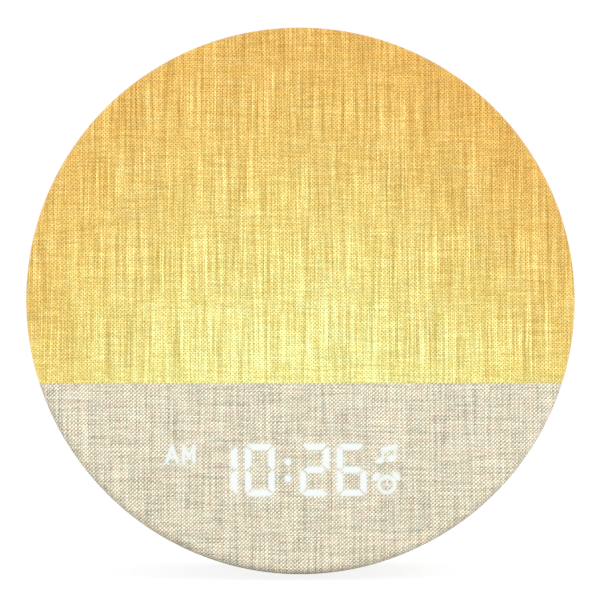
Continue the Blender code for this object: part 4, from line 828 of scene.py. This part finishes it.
CREAM_OPAL, IVORY, CHALK = linear(248, 232, 176), linear(226, 219, 206), linear(238, 236, 230)
SOOT, COAL, GREY = linear(30, 30, 30), linear(52, 52, 52), linear(150, 146, 138)
FINISHES |= {
    "opal_plastic": moulded("opal plastic", CREAM_OPAL, 0.45, depth=0.006 * MM, Subsurface_Weight=0.3),
    "white_plastic": moulded("white plastic", CHALK, 0.5, depth=0.008 * MM),
    "housing_plastic": moulded("housing plastic", IVORY, 0.58, grain=0.28 * MM, depth=0.035 * MM),
    "key_plastic": moulded("key plastic", linear(236, 230, 220), 0.42, 0.2 * MM, 0.010 * MM, wear=0.5),
    "black_plastic": moulded("black plastic", linear(38, 38, 38), 0.42, depth=0.010 * MM, dust=0.15),
    "smoked_acrylic": moulded(
        "smoked acrylic", linear(30, 31, 34), 0.12, depth=0.001 * MM, dust=0.1, Coat_Weight=0.5
    ),
    "silicone": moulded("silicone", GREY, 0.72, grain=0.5 * MM, depth=0.02 * MM, dust=0.4),
    "zinc_steel": metal("zinc steel", linear(204, 204, 200), 0.34),
    "aluminium": metal("aluminium", linear(222, 224, 226), 0.38, stretch=0.02, depth=0.008 * MM),
    "circuit_board": board("circuit board", linear(16, 84, 44), linear(28, 116, 62)),
    "lamp_board": board("lamp board", linear(236, 236, 232), linear(222, 222, 216)),
    "copper_wire": metal("copper wire", linear(190, 112, 66), 0.3, stretch=1.0),
    "gold_contact": metal("gold contact", linear(222, 188, 112), 0.25),
    "gasket_foam": patterned("gasket foam", SOOT, COAL, 0.95, 1800.0, depth=0.12 * MM),
    "ferrite": patterned("ferrite", linear(58, 58, 62), linear(80, 80, 84), 0.6, 900.0),
    "cone_paper": patterned(
        "cone paper", linear(44, 43, 42), linear(70, 68, 66), 0.85, 700.0, 0.35, 0.7, depth=0.05 * MM
    ),
    "surround_rubber": moulded("surround rubber", linear(34, 34, 35), 0.55, depth=0.01 * MM, dust=0.3),
    "spider_cloth": patterned(
        "spider cloth", linear(176, 140, 84), linear(206, 172, 112), 0.9, 1500.0, depth=0.08 * MM
    ),
    "red_lead": moulded("red lead", linear(170, 30, 28), 0.4, depth=0.004 * MM, dust=0.1),
    "white_lead": moulded("white lead", linear(228, 226, 220), 0.4, depth=0.004 * MM, dust=0.1),
}
print(len(FINISHES), "finishes")

# %% [markdown]
# ## Carving and pushing out shapes
# Most mouldings here are an outline pushed to a depth, or a section spun round an axis, with holes cut
# through. `push_out` and `turned` make the blanks, `carve` runs a Boolean at once and keeps only its result,
# and `soften` rounds every edge sharper than an angle, because no moulded edge is perfectly sharp.


# %% Blanks
QUARTERS = ((1, 1), (-1, 1), (-1, -1), (1, -1))  # the sides on which a rectangle's corners lie


def corner_arc(cx, cz, radius, quarter, steps):
    """A quarter of a circle as points, counterclockwise. Quarter 0 is the upper right one."""
    angles = [math.radians(90 * quarter + 90 * step / steps) for step in range(steps + 1)]
    return [(cx + radius * math.cos(a), cz + radius * math.sin(a)) for a in angles]


def rounded(width, height, radius, x=0.0, z=0.0, steps=5):
    """Outline of a rectangle with round corners, counterclockwise."""
    points = []
    for quarter, (side_x, side_z) in enumerate(QUARTERS):
        cx, cz = x + side_x * (width / 2 - radius), z + side_z * (height / 2 - radius)
        points += corner_arc(cx, cz, radius, quarter, steps)
    return points


def push_out(outline, low, high, along="Y", at=(0, 0, 0)):
    """A solid: a flat outline pushed from low to high along Y or Z."""
    bm = bmesh.new()
    flat = [(a, low, b) if along == "Y" else (a, b, low) for a, b in outline]
    face = bm.faces.new([bm.verts.new(Vector(p) + Vector(at)) for p in flat])
    pushed = bmesh.ops.extrude_face_region(bm, geom=[face])["geom"]
    way = (0, high - low, 0) if along == "Y" else (0, 0, high - low)
    bmesh.ops.translate(bm, vec=way, verts=[g for g in pushed if isinstance(g, bmesh.types.BMVert)])
    return bm


def turned(profile, place=Vector(), steps=96):
    """A solid of (depth, radius) points, round an axis through a place. An open end is closed as a loop."""
    bm = bmesh.new()
    if profile[0][1] > 0 or profile[-1][1] > 0:
        profile = [*profile, profile[0]]
    spun(bm, profile, steps)
    bmesh.ops.translate(bm, vec=(place.x, 0, place.z), verts=bm.verts)
    return bm


print("blanks ready")


# %% Cuts and soft edges
def soften(bm, size, segments=2, angle=40):
    """Rounds all edges sharper than the angle."""
    bmesh.ops.remove_doubles(bm, verts=bm.verts, dist=TINY)
    bmesh.ops.recalc_face_normals(bm, faces=bm.faces)
    edges = [e for e in bm.edges if len(e.link_faces) == 2 and e.calc_face_angle() > math.radians(angle)]
    how = {"offset_type": "OFFSET", "profile": 0.5, "affect": "EDGES", "clamp_overlap": True, "material": -1}
    bmesh.ops.bevel(bm, geom=edges, offset=size, segments=segments, **how)
    return bm


def blank(bm):
    """A bmesh as a temporary object for a Boolean."""
    bmesh.ops.remove_doubles(bm, verts=bm.verts, dist=TINY)
    bmesh.ops.recalc_face_normals(bm, faces=bm.faces)
    mesh = bpy.data.meshes.new("blank")
    bm.to_mesh(mesh)
    bm.free()
    made = bpy.data.objects.new("blank", mesh)
    bpy.context.scene.collection.objects.link(made)
    return made


def carve(base, operation, *tools):
    """Cuts the tools from the base or joins them to it. Returns a new bmesh."""
    body, shapes = blank(base), [blank(t) for t in tools]
    group = bpy.data.collections.new("tools")
    for shape in shapes:
        group.objects.link(shape)
    modifier = body.modifiers.new("carve", "BOOLEAN")
    modifier.operation, modifier.operand_type, modifier.solver = operation, "COLLECTION", "EXACT"
    modifier.collection = group
    bpy.context.view_layer.update()
    result = bmesh.new()
    result.from_object(body, bpy.context.evaluated_depsgraph_get())
    for used in (body, *shapes):
        mesh = used.data
        bpy.data.objects.remove(used)
        bpy.data.meshes.remove(mesh)
    bpy.data.collections.remove(group)
    bmesh.ops.dissolve_degenerate(result, dist=TINY, edges=result.edges)
    return result


def absorb(bm, other):
    """Adds another closed shape to a mesh, in the second material slot."""
    for face in other.faces:
        face.material_index = 1
    mesh = bpy.data.meshes.new("absorbed")
    other.to_mesh(mesh)
    other.free()
    bm.from_mesh(mesh)
    bpy.data.meshes.remove(mesh)


print("cutting tools ready")

# %% [markdown]
# ## Housing
# The drum behind the face is one deep moulding with a rounded back edge. Its underside is cut flat, parallel
# to the table, so the clock stands leaning back. The wall is a real wall: the inside is cut out of the
# solid drum, and the five key openings and the seat of the foot are cut through it.

# %% Sizes of the drum
GAP, WALL, CORNER = 0.3 * MM, 2.5 * MM, 11.0 * MM
FRONT_EDGE = 0.4 * MM
HOUSING_FRONT, BODY_DEPTH = seat("housing")[0].y, seat("housing")[1].y
HOUSING_RADIUS, COVER_RADIUS = seat("housing")[1].x, seat("rear_cover")[1].x
COVER_THICKNESS, LIP_WIDTH, LIP_THICKNESS = 2.0 * MM, 8.5 * MM, 2.3 * MM
COVER_FRONT = BODY_DEPTH - COVER_THICKNESS
BEHIND, BEFORE = BODY_DEPTH + MM, COVER_FRONT - MM  # where cutters of the cover start and end
UNDERSIDE, FLOOR_THICKNESS, FOOT_SEAT = 0.8 * MM, 3.0 * MM, 2.3 * MM
KEY_NAMES = ("light", "sound", "snooze", "alarm", "timer")
KEY_DEPTH = centre("snooze_key").y
KEY_CLEARANCE, KEY_CORNER, KEY_LENGTH, KEY_FLANGE = 0.35 * MM, 2.0 * MM, 14.0 * MM, 1.0 * MM
DRUM_STEPS = 256
print("the drum is", round((BODY_DEPTH - HOUSING_FRONT) / MM, 1), "mm deep")


# %% Drum, inside and openings
def cut_level(bm, height):
    """Cuts a mesh off flat at a height over the table, and closes it."""
    point_on, upward = UNPLACE @ Vector((0, 0, height)), UNPLACE.to_3x3() @ Vector((0, 0, 1))
    geom = [*bm.verts, *bm.edges, *bm.faces]
    cut = bmesh.ops.bisect_plane(bm, geom=geom, plane_co=point_on, plane_no=upward, clear_inner=True)
    edges = [g for g in cut["geom_cut"] if isinstance(g, bmesh.types.BMEdge)]
    bmesh.ops.contextual_create(bm, geom=edges)


def key_place(name):
    """Middle of a key across the clock, and the width of its cap."""
    low, high = seat(name + "_key")
    return (low.x + high.x) / 2, high.x - low.x - 2 * KEY_FLANGE


def foot_outline(grow=0.0):
    """Outline of the foot on the table: narrower at the front, with round corners."""
    low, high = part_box("foot_pad")
    half, radius = (high.y - low.y) / 2 + grow, FOOT_CORNER + grow
    half_width = {1: high.x + grow, -1: FOOT_FRONT_WIDTH / 2 + grow}
    points = []
    for quarter, (side_x, side_y) in enumerate(QUARTERS):
        cx, cy = side_x * (half_width[side_y] - radius), side_y * (half - radius) + (low.y + high.y) / 2
        points += corner_arc(cx, cy, radius, quarter, 5)
    return points


def make_housing():
    corner_at, lip = (BODY_DEPTH - CORNER, HOUSING_RADIUS - CORNER), BODY_DEPTH - LIP_THICKNESS
    front = [(0, FRONT_EDGE), (0.3 * FRONT_EDGE, 0.3 * FRONT_EDGE), (FRONT_EDGE, 0)]
    drum = turned(
        [
            (HOUSING_FRONT, 0),
            *[(HOUSING_FRONT + back, HOUSING_RADIUS - inward) for back, inward in front],
            *arc(corner_at, CORNER, 0, 86, 12),
            (BODY_DEPTH, COVER_RADIUS + GAP + 0.5 * MM),
            (BODY_DEPTH, 0),
        ],
        steps=DRUM_STEPS,
    )
    bend, opening, chamfer = CORNER - WALL, COVER_RADIUS + GAP, 0.35 * MM
    last = math.degrees(math.asin((lip - LIP_THICKNESS - corner_at[0]) / bend))
    inside = turned(
        [
            (HOUSING_FRONT - MM, 0),
            (HOUSING_FRONT - MM, HOUSING_RADIUS - WALL),
            *arc(corner_at, bend, 0, last, 6),
            (lip - LIP_THICKNESS, opening - LIP_WIDTH),
            (lip, opening - LIP_WIDTH),
            (lip, opening),
            (BODY_DEPTH - 0.25 * MM, opening),
            (BODY_DEPTH + 0.1 * MM, opening + chamfer),
            (BEHIND, opening + chamfer),
            (BEHIND, 0),
        ],
        steps=DRUM_STEPS,
    )
    cut_level(drum, UNDERSIDE)
    cut_level(inside, UNDERSIDE + FLOOR_THICKNESS)
    cutters, more = [inside], 2 * KEY_CLEARANCE
    for name in KEY_NAMES:
        x, width = key_place(name)
        window = rounded(width + more, KEY_LENGTH + more, KEY_CORNER + KEY_CLEARANCE)
        cutters.append(push_out(window, 60 * MM, 90 * MM, "Z", (x, KEY_DEPTH, 0)))
    seat_cut = push_out(foot_outline(GAP), -MM, FOOT_SEAT, "Z")
    bmesh.ops.transform(seat_cut, matrix=UNPLACE, verts=seat_cut.verts)
    return carve(drum, "DIFFERENCE", *cutters, seat_cut)


FOOT_CORNER, FOOT_FRONT_WIDTH = 3.0 * MM, 20.0 * MM
finished("housing_shell", make_housing(), "housing", "housing_plastic")

# %% [markdown]
# ## Foot
# A silicone pad sits in a shallow seat under the drum, so the clock doesn't slide. Grooves across its
# underside let it grip.

# %% Foot pad
FOOT_GROOVES, GROOVE_LENGTH, GROOVE_WIDTH, GROOVE_DEPTH = 5, 24 * MM, 1.2 * MM, 0.4 * MM


def make_foot():
    low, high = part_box("foot_pad")
    grooves = []
    for i in range(FOOT_GROOVES):
        y = low.y + (high.y - low.y) * (i + 1) / (FOOT_GROOVES + 1)
        groove = rounded(GROOVE_LENGTH, GROOVE_WIDTH, 0.55 * MM, 0, y, 3)
        grooves.append(push_out(groove, -MM, GROOVE_DEPTH, "Z"))
    pad = soften(push_out(foot_outline(), 0, high.z, "Z"), 0.35 * MM, 3)
    return carve(pad, "DIFFERENCE", *grooves)


finished("foot", make_foot(), "foot_pad", "silicone", placed=False)

# %% [markdown]
# ## Keys
# Five keys follow the curve of the drum. Each cap is an outline pushed up and cut into strips, and its top
# points are dropped onto the drum's radius, so its top is curved. Then its edges are softened. A flange
# inside keeps it from falling out, and a stem reaches down to its switch. Raised signs tell the keys apart
# by touch: a sun, a note, a moon, a bell and an hourglass.

# %% The signs
KEY_TOP_RADIUS = HOUSING_RADIUS + 0.6 * MM
SIGN_RISE = 0.18 * MM
key_sign_finish = moulded("key sign", linear(128, 120, 110), 0.5, depth=0.006 * MM, dust=0.1)


def disc(x, y, radius, steps=20):
    angles = [2 * math.pi * i / steps for i in range(steps)]
    return [(x + radius * math.cos(a), y + radius * math.sin(a)) for a in angles]


def strip(x0, y0, x1, y1, half):
    """A straight line with a width."""
    start, end = Vector((x0, y0)), Vector((x1, y1))
    along = (end - start).normalized()
    side = Vector((-along.y, along.x)) * half
    return [tuple(p) for p in (start - side, end - side, end + side, start + side)]


def sign_outlines(name):
    """Outlines of a key's sign round the key's middle, in millimetres."""
    if name == "light":
        rays = [Vector((math.cos(a), math.sin(a))) for a in (math.pi * i / 4 for i in range(8))]
        return [disc(0, 0, 1.1), *[strip(*(r * 1.7), *(r * 2.5), 0.22) for r in rays]]
    if name == "sound":
        stem, flag = strip(-0.25, -1.5, -0.25, 2.2, 0.2), strip(-0.1, 1.9, 1.5, 1.0, 0.35)
        return [disc(-0.95, -1.5, 0.95), stem, flag]
    if name == "snooze":
        outer = [(2.3 * math.cos(a), 2.3 * math.sin(a)) for a in np.linspace(0.9, 2 * math.pi - 0.9, 24)]
        hollow = np.linspace(2 * math.pi - 1.25, 1.25, 20)
        return [outer + [(0.75 + 1.9 * math.cos(a), 1.9 * math.sin(a)) for a in hollow]]
    if name == "alarm":
        half = [(-1.9, -1.2), (1.9, -1.2), (1.9, -0.8), (1.35, -0.2), (1.2, 1.0), (0.6, 1.8), (0, 2.0)]
        return [half + [(-x, y) for x, y in reversed(half[2:-1])], disc(0, -1.8, 0.42)]
    half = [(-1.5, 2.0), (-1.5, 1.6), (-0.25, 0), (-1.5, -1.6), (-1.5, -2.0)]
    return [half + [(-x, y) for x, y in reversed(half)]]


print("signs for", ", ".join(KEY_NAMES))

# %% Key caps
CAP_EDGE, FLANGE_THICKNESS, FLANGE_PLAY, STEM_WIDTH = 0.55 * MM, 1.0 * MM, 0.4 * MM, 4.0 * MM
SNAP = 0.001 * MM


def make_key(name):
    x, width = key_place(name)
    place = (x, KEY_DEPTH, 0)
    flange_end = abs(x) + width / 2 + KEY_FLANGE + 0.2 * MM
    flange_top = math.sqrt((HOUSING_RADIUS - WALL) ** 2 - flange_end**2) - FLANGE_PLAY
    cap = push_out(rounded(width, KEY_LENGTH, KEY_CORNER), flange_top - 0.5 * MM, 1.0, "Z", place)
    straight = width - 2 * KEY_CORNER
    strips = round(straight / MM)
    for i in range(strips + 1):
        at = (x - straight / 2 + straight * i / strips, 0, 0)
        geom = [*cap.verts, *cap.edges, *cap.faces]
        bmesh.ops.bisect_plane(cap, geom=geom, dist=SNAP, plane_co=at, plane_no=(1, 0, 0))
    for vert in cap.verts:
        if vert.co.z > 0.5:  # the top, which was pushed a whole metre up
            vert.co.z = math.sqrt(KEY_TOP_RADIUS**2 - vert.co.x**2)
    soften(cap, CAP_EDGE, 4, 30)
    around = rounded(width + 2 * KEY_FLANGE, KEY_LENGTH + 2 * KEY_FLANGE, KEY_CORNER)
    flange = push_out(around, flange_top - FLANGE_THICKNESS, flange_top, "Z", place)
    post = rounded(STEM_WIDTH, STEM_WIDTH, 1.2 * MM)
    stem = push_out(post, seat(name + "_key")[0].z, flange_top - 0.4 * MM, "Z", place)
    cap = carve(cap, "UNION", flange, stem)
    for outline in sign_outlines(name):
        sign = push_out([(a * MM, b * MM) for a, b in outline], 0, 1, "Z", place)
        for vert in sign.verts:
            lift = SIGN_RISE if vert.co.z > 0.5 else -SIGN_RISE
            vert.co.z = math.sqrt(KEY_TOP_RADIUS**2 - vert.co.x**2) + lift
        absorb(cap, sign)
    return cap


for name in KEY_NAMES:
    key_cap = finished(
        name + "_key_cap", make_key(name), name + "_key", "key_plastic", name + "_key_body", sharp=30
    )
    key_cap.data.materials.append(key_sign_finish)

# %% [markdown]
# ## Rear cover
# A flat disc sits in the housing's back. It has slots for the speaker, holes for the dials, the power inlet,
# the alarm switch and the battery door, and four countersunk screws. All holes are cut in one go, then
# every edge is softened.

# %% Where things are on the cover
SPEAKER_AT, JACK_AT = centre("speaker_gasket"), centre("dc_jack")
DOOR_AT, SLIDER_AT = centre("battery_door"), centre("alarm_slider")
DIAL_AT = {side: centre(side + "_shaft") for side in ("volume", "brightness")}
DOOR_SIDE = seat("battery_door")[1].x - seat("battery_door")[0].x
COVER_SCREW, DOOR_SCREW = (2.6 * MM, 1.2 * MM), (1.6 * MM, 0.8 * MM)  # radius of head and shank
SCREW_DEPTH, DIAL_HOLE, JACK_HOLE = 0.2 * MM, 4.0 * MM, 5.0 * MM
SLOTS, SLOT_PITCH, SLOT_WIDTH, GRILLE_RADIUS = 7, 5.0 * MM, 2.2 * MM, 21.0 * MM
print("battery door", round(DOOR_SIDE / MM, 1), "mm square")


# %% Cover plate
def through(shape):
    """A cutter for a hole of this outline through the cover."""
    return push_out(shape, BEFORE, BEHIND)


def round_hole(place, radius):
    return turned([(BEFORE, 0), (BEFORE, radius), (BEHIND, radius), (BEHIND, 0)], place, 48)


def sunk_hole(place, head, shank):
    """A hole with a cone for a countersunk screw."""
    sunk = BODY_DEPTH - SCREW_DEPTH - GAP
    head_side = [(BEHIND, 0), (BEHIND, head + GAP), (sunk, head + GAP)]
    shank_side = [(sunk - head + shank, shank + GAP), (BEFORE, shank + GAP), (BEFORE, 0)]
    return turned(head_side + shank_side, place, 40)


def make_rear_cover():
    edge = 0.4 * MM
    side = arc((BODY_DEPTH - edge, COVER_RADIUS - edge), edge, 0, 90, 4)
    profile = [(COVER_FRONT, 0), (COVER_FRONT, COVER_RADIUS), *side, (BODY_DEPTH, 0)]
    plate = turned(profile, steps=DRUM_STEPS)
    cuts = []
    for row in range(SLOTS):
        rise = (row - SLOTS // 2) * SLOT_PITCH
        length = 2 * math.sqrt(GRILLE_RADIUS**2 - rise**2)
        cuts.append(through(rounded(length, SLOT_WIDTH, 1.09 * MM, SPEAKER_AT.x, SPEAKER_AT.z + rise, 6)))
    cuts += [round_hole(place, DIAL_HOLE) for place in DIAL_AT.values()]
    cuts.append(round_hole(JACK_AT, JACK_HOLE))
    cuts.append(through(rounded(7.7 * MM, 3.7 * MM, 0.6 * MM, SLIDER_AT.x + 1.5 * MM, SLIDER_AT.z)))
    opening = DOOR_SIDE + 2 * GAP
    cuts.append(through(rounded(opening, opening, 1.8 * MM, DOOR_AT.x, DOOR_AT.z)))
    cuts += [sunk_hole(centre(f"cover_screw_{i}"), *COVER_SCREW) for i in range(1, 5)]
    return soften(carve(plate, "DIFFERENCE", *cuts), 0.22 * MM, 2, 50)


finished("back_plate", make_rear_cover(), "rear_cover", "housing_plastic")

# %% [markdown]
# ## Screws and battery door
# The screws lie just under the surface, with a cross recess for the driver. The battery door has ridges for
# the thumb and its own small screw.


# %% Screws
def make_screw(node, head, shank):
    low, high = seat(node)
    place, sunk, cone_end = (low + high) / 2, high.y, high.y - 0.3 * MM - (head - shank)
    head_side = [(sunk, 0), (sunk, head - 0.15 * MM), (sunk - 0.15 * MM, head), (sunk - 0.3 * MM, head)]
    shank_side = [(cone_end, shank), (low.y + 0.8 * MM, shank), (low.y, shank * 0.4), (low.y, 0)]
    screw = turned(head_side + shank_side, place, 32)
    for angle in (45, 135):
        slit = push_out(rounded(head * 1.25, head * 0.26, head * 0.12, steps=2), sunk - 0.9 * MM, sunk + MM)
        turn = Matrix.Rotation(math.radians(angle), 3, "Y")
        bmesh.ops.rotate(slit, cent=(0, 0, 0), matrix=turn, verts=slit.verts)
        bmesh.ops.translate(slit, vec=(place.x, 0, place.z), verts=slit.verts)
        screw = carve(screw, "DIFFERENCE", slit)
    return screw


for i in range(1, 5):
    node_name = f"cover_screw_{i}"
    finished(f"back_screw_{i}", make_screw(node_name, *COVER_SCREW), node_name, "zinc_steel")
finished("door_screw", make_screw("battery_door_screw", *DOOR_SCREW), "battery_door_screw", "zinc_steel")


# %% Battery door
def make_door():
    outline = rounded(DOOR_SIDE, DOOR_SIDE, 1.5 * MM, DOOR_AT.x, DOOR_AT.z)
    cuts = [sunk_hole(centre("battery_door_screw"), *DOOR_SCREW)]
    for i in range(4):
        groove = rounded(9 * MM, 0.9 * MM, 0.4 * MM, DOOR_AT.x + 3 * MM, DOOR_AT.z + (5.5 - 1.8 * i) * MM, 3)
        cuts.append(push_out(groove, BODY_DEPTH - 0.45 * MM, BEHIND))
    plate = push_out(outline, COVER_FRONT, BODY_DEPTH)
    return soften(carve(plate, "DIFFERENCE", *cuts), 0.18 * MM, 2, 50)


finished("battery_hatch", make_door(), "battery_door", "housing_plastic")

# %% [markdown]
# ## Dials, slider and inlet
# The two dials are ribbed for the fingers, hollow for their shafts, and have a dished top with a raised
# index line. The ribs are made by moving the rim of a spun shape in and out as it goes round.

# %% Dials
DIAL_RADIUS, DIAL_HEIGHT, DIAL_BORE, RIBS, RIB_DEPTH = 11.0 * MM, 9.0 * MM, 3.3 * MM, 24, 0.5 * MM
RIM_BAND, RIB_FADE = 1.0 * MM, 0.6 * MM  # how deep the ribs reach in from the rim, and over what they fade
index_finish = moulded("index line", linear(96, 90, 82), 0.45, depth=0.004 * MM, dust=0.05)


def rib_the_rim(bm):
    for vert in bm.verts:
        radius, angle = math.hypot(vert.co.x, vert.co.z), math.atan2(vert.co.z, vert.co.x)
        inward = radius - DIAL_RADIUS + RIM_BAND
        if inward > 0:
            share = min(1.0, inward / RIB_FADE)
            dip = RIB_DEPTH * share * (0.5 - 0.5 * math.cos(RIBS * angle)) / radius
            vert.co.x, vert.co.z = vert.co.x * (1 - dip), vert.co.z * (1 - dip)


def make_dial(side):
    low, high = seat(side + "_knob")
    back, bore_back, rim = high.y + 0.1 * MM, low.y + DIAL_HEIGHT - 2.0 * MM, DIAL_RADIUS
    bore = [(bore_back, 0), (bore_back, DIAL_BORE), (low.y, DIAL_BORE)]
    skirt = [(low.y, rim - 0.5 * MM), (low.y + 0.15 * MM, rim - 0.15 * MM), (low.y + 0.5 * MM, rim)]
    shoulder = [(back - 1.1 * MM, rim), *arc((back - 0.9 * MM, rim - 0.9 * MM), 0.9 * MM, 15, 90, 5)]
    dish = ((0, 2.2), (0.15, 2.5), (0.35, 3.2), (0.45, 6.0))
    top = [(back - sink * MM, rim - inward * MM) for sink, inward in dish]
    dial = turned([*bore, *skirt, *shoulder, *top, (back - 0.45 * MM, 0)], steps=RIBS * 8)
    rib_the_rim(dial)
    line = rounded(1.0 * MM, 4.2 * MM, 0.45 * MM, 0, rim - 5.6 * MM, 3)
    absorb(dial, soften(push_out(line, back - 0.8 * MM, back - 0.1 * MM), 0.12 * MM, 2))
    bmesh.ops.translate(dial, vec=(DIAL_AT[side].x, 0, DIAL_AT[side].z), verts=dial.verts)
    return dial


for side in DIAL_AT:
    dial = finished(side + "_knob_cap", make_dial(side), side + "_knob", "key_plastic", side + "_dial")
    dial.data.materials.append(index_finish)

# %% Alarm slider
INNER_FACE = COVER_FRONT - GAP  # parts that touch the cover from inside stop here


def make_slider():
    low, high = seat("alarm_slider")
    half, top, at = 2.0 * MM, high.y, (SLIDER_AT.x, 0, SLIDER_AT.z)
    section = [(-half, INNER_FACE - 0.5 * MM), (-half, top - 0.5 * MM)]
    for i in range(4):
        x = -half + 0.4 * MM + i * 0.9 * MM
        section += [(x, top), (x + 0.35 * MM, top), (x + 0.5 * MM, top - 0.45 * MM)]
    section += [(half, top - 0.5 * MM), (half, INNER_FACE - 0.5 * MM)]
    button = push_out(section, -1.5 * MM, 1.5 * MM, "Z", at)
    flange = push_out(rounded(9.0 * MM, 5.5 * MM, 0.5 * MM, at[0], at[2]), INNER_FACE - MM, INNER_FACE)
    stem = push_out(rounded(2.4 * MM, 2.4 * MM, 0.3 * MM, at[0], at[2]), low.y, INNER_FACE - 0.7 * MM)
    return carve(button, "UNION", flange, stem)


finished("alarm_slide_button", make_slider(), "alarm_slider", "black_plastic", "alarm_slider_body")

# %% Power inlet
NOSE, INLET_BORE, PIN, BORE_DEPTH = 4.7 * MM, 3.2 * MM, 1.0 * MM, 9.5 * MM


def make_inlet():
    low, high = seat("dc_jack")
    face, side = high.y, high.x - low.x
    box = push_out(rounded(side, side, 0.4 * MM, JACK_AT.x, JACK_AT.z), low.y, INNER_FACE)
    lip = [(face - 0.4 * MM, NOSE), (face - 0.1 * MM, NOSE - 0.15 * MM), (face, NOSE - 0.4 * MM), (face, 0)]
    nose = turned([(BEFORE, 0), (BEFORE, NOSE), *lip], JACK_AT, 64)
    flare = INLET_BORE + 0.5 * MM
    mouth = [(face - 0.5 * MM, INLET_BORE), (face + 0.1 * MM, flare), (face + MM, flare), (face + MM, 0)]
    bore = turned([(face - BORE_DEPTH, 0), (face - BORE_DEPTH, INLET_BORE), *mouth], JACK_AT, 64)
    foot, tip = face - BORE_DEPTH - MM, face - 1.5 * MM
    point_of_pin = [(tip - 0.5 * MM, PIN), (tip - 0.12 * MM, 0.7 * PIN), (tip, 0)]
    pin = turned([(foot, 0), (foot, PIN), *point_of_pin], JACK_AT, 24)
    return carve(carve(carve(box, "UNION", nose), "DIFFERENCE", bore), "UNION", pin)


finished("power_inlet", make_inlet(), "dc_jack", "black_plastic")

# %% [markdown]
# ## Speaker
# Behind the slots a paper cone hangs in a rubber roll, inside a steel basket. Through the slots one sees the
# cone's dished middle, so it is spun smooth, and the paper has pressed rings.

# %% Cone
COIL_RADIUS, PAPER, RING_HEIGHT = 7.6 * MM, 0.5 * MM, 0.12 * MM
DOME_RADIUS, DOME_RISE, CONE_STEPS = 7.0 * MM, 2.6 * MM, 24


def make_cone():
    low, high = seat("speaker_cone")
    rim, throat = high.x - SPEAKER_AT.x, COIL_RADIUS + 0.4 * MM
    back_side = []
    for i in range(CONE_STEPS + 1):
        share = i / CONE_STEPS
        sink = (high.y - low.y - 0.9 * MM) * (1 - (1 - share) ** 1.15)
        ring = RING_HEIGHT * math.sin(share * 9 * math.pi) if 0.1 < share < 0.9 else 0.0
        back_side.append((high.y - sink + ring, rim + (throat - rim) * share))
    dome = []
    for radius in (DOME_RADIUS, 6.0 * MM, 5.0 * MM, 3.5 * MM, 2.0 * MM, 0.0):
        dome.append((back_side[-1][0] + DOME_RISE * (1 - (radius / DOME_RADIUS) ** 2), radius))
    front_side = [(depth - PAPER, radius) for depth, radius in back_side]
    front_side[-1] = (low.y, COIL_RADIUS)
    return turned([(low.y, 0), *reversed(front_side), *back_side, *dome], SPEAKER_AT, 96)


finished("cone", make_cone(), "speaker_cone", "cone_paper", "speaker_cone_body")

# %% [markdown]
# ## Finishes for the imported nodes
# Every node that stays as it was packed gets the finish that the record names for it.

# %% Finish the rest
for part in frame["record"]["subparts"]:
    shown = frame["nodes"][part["node"]].data.materials
    shown.clear()
    shown.append(FINISHES[part["material_slot"]])

# %% [markdown]
# ## Floor
# A plain pale floor, large enough to reach the horizon.

# %% Floor
floor_mesh = bmesh.new()
bmesh.ops.create_grid(floor_mesh, x_segments=1, y_segments=1, size=30.0)
floor_data = bpy.data.meshes.new("floor")
floor_mesh.to_mesh(floor_data)
floor_mesh.free()
floor = bpy.data.objects.new("floor", floor_data)
bpy.context.scene.collection.objects.link(floor)
floor_finish, tree, floor_shader = new_material("pale floor", roughness=0.9)
floor_shader["Base Color"].default_value = (0.62, 0.62, 0.62, 1.0)
paper = tree.nodes.new("ShaderNodeEmission")
paper.inputs["Strength"].default_value = 1.18
seen = node(tree, "LightPath", "Is Camera Ray")
mixed = tree.nodes.new("ShaderNodeMixShader")
set_input(tree, mixed.inputs[0], Amount(tree, seen) * 0.75)
tree.links.new(tree.nodes["Principled BSDF"].outputs[0], mixed.inputs[1])
tree.links.new(paper.outputs[0], mixed.inputs[2])
tree.links.new(mixed.outputs[0], tree.nodes["Material Output"].inputs["Surface"])
floor_data.materials.append(floor_finish)
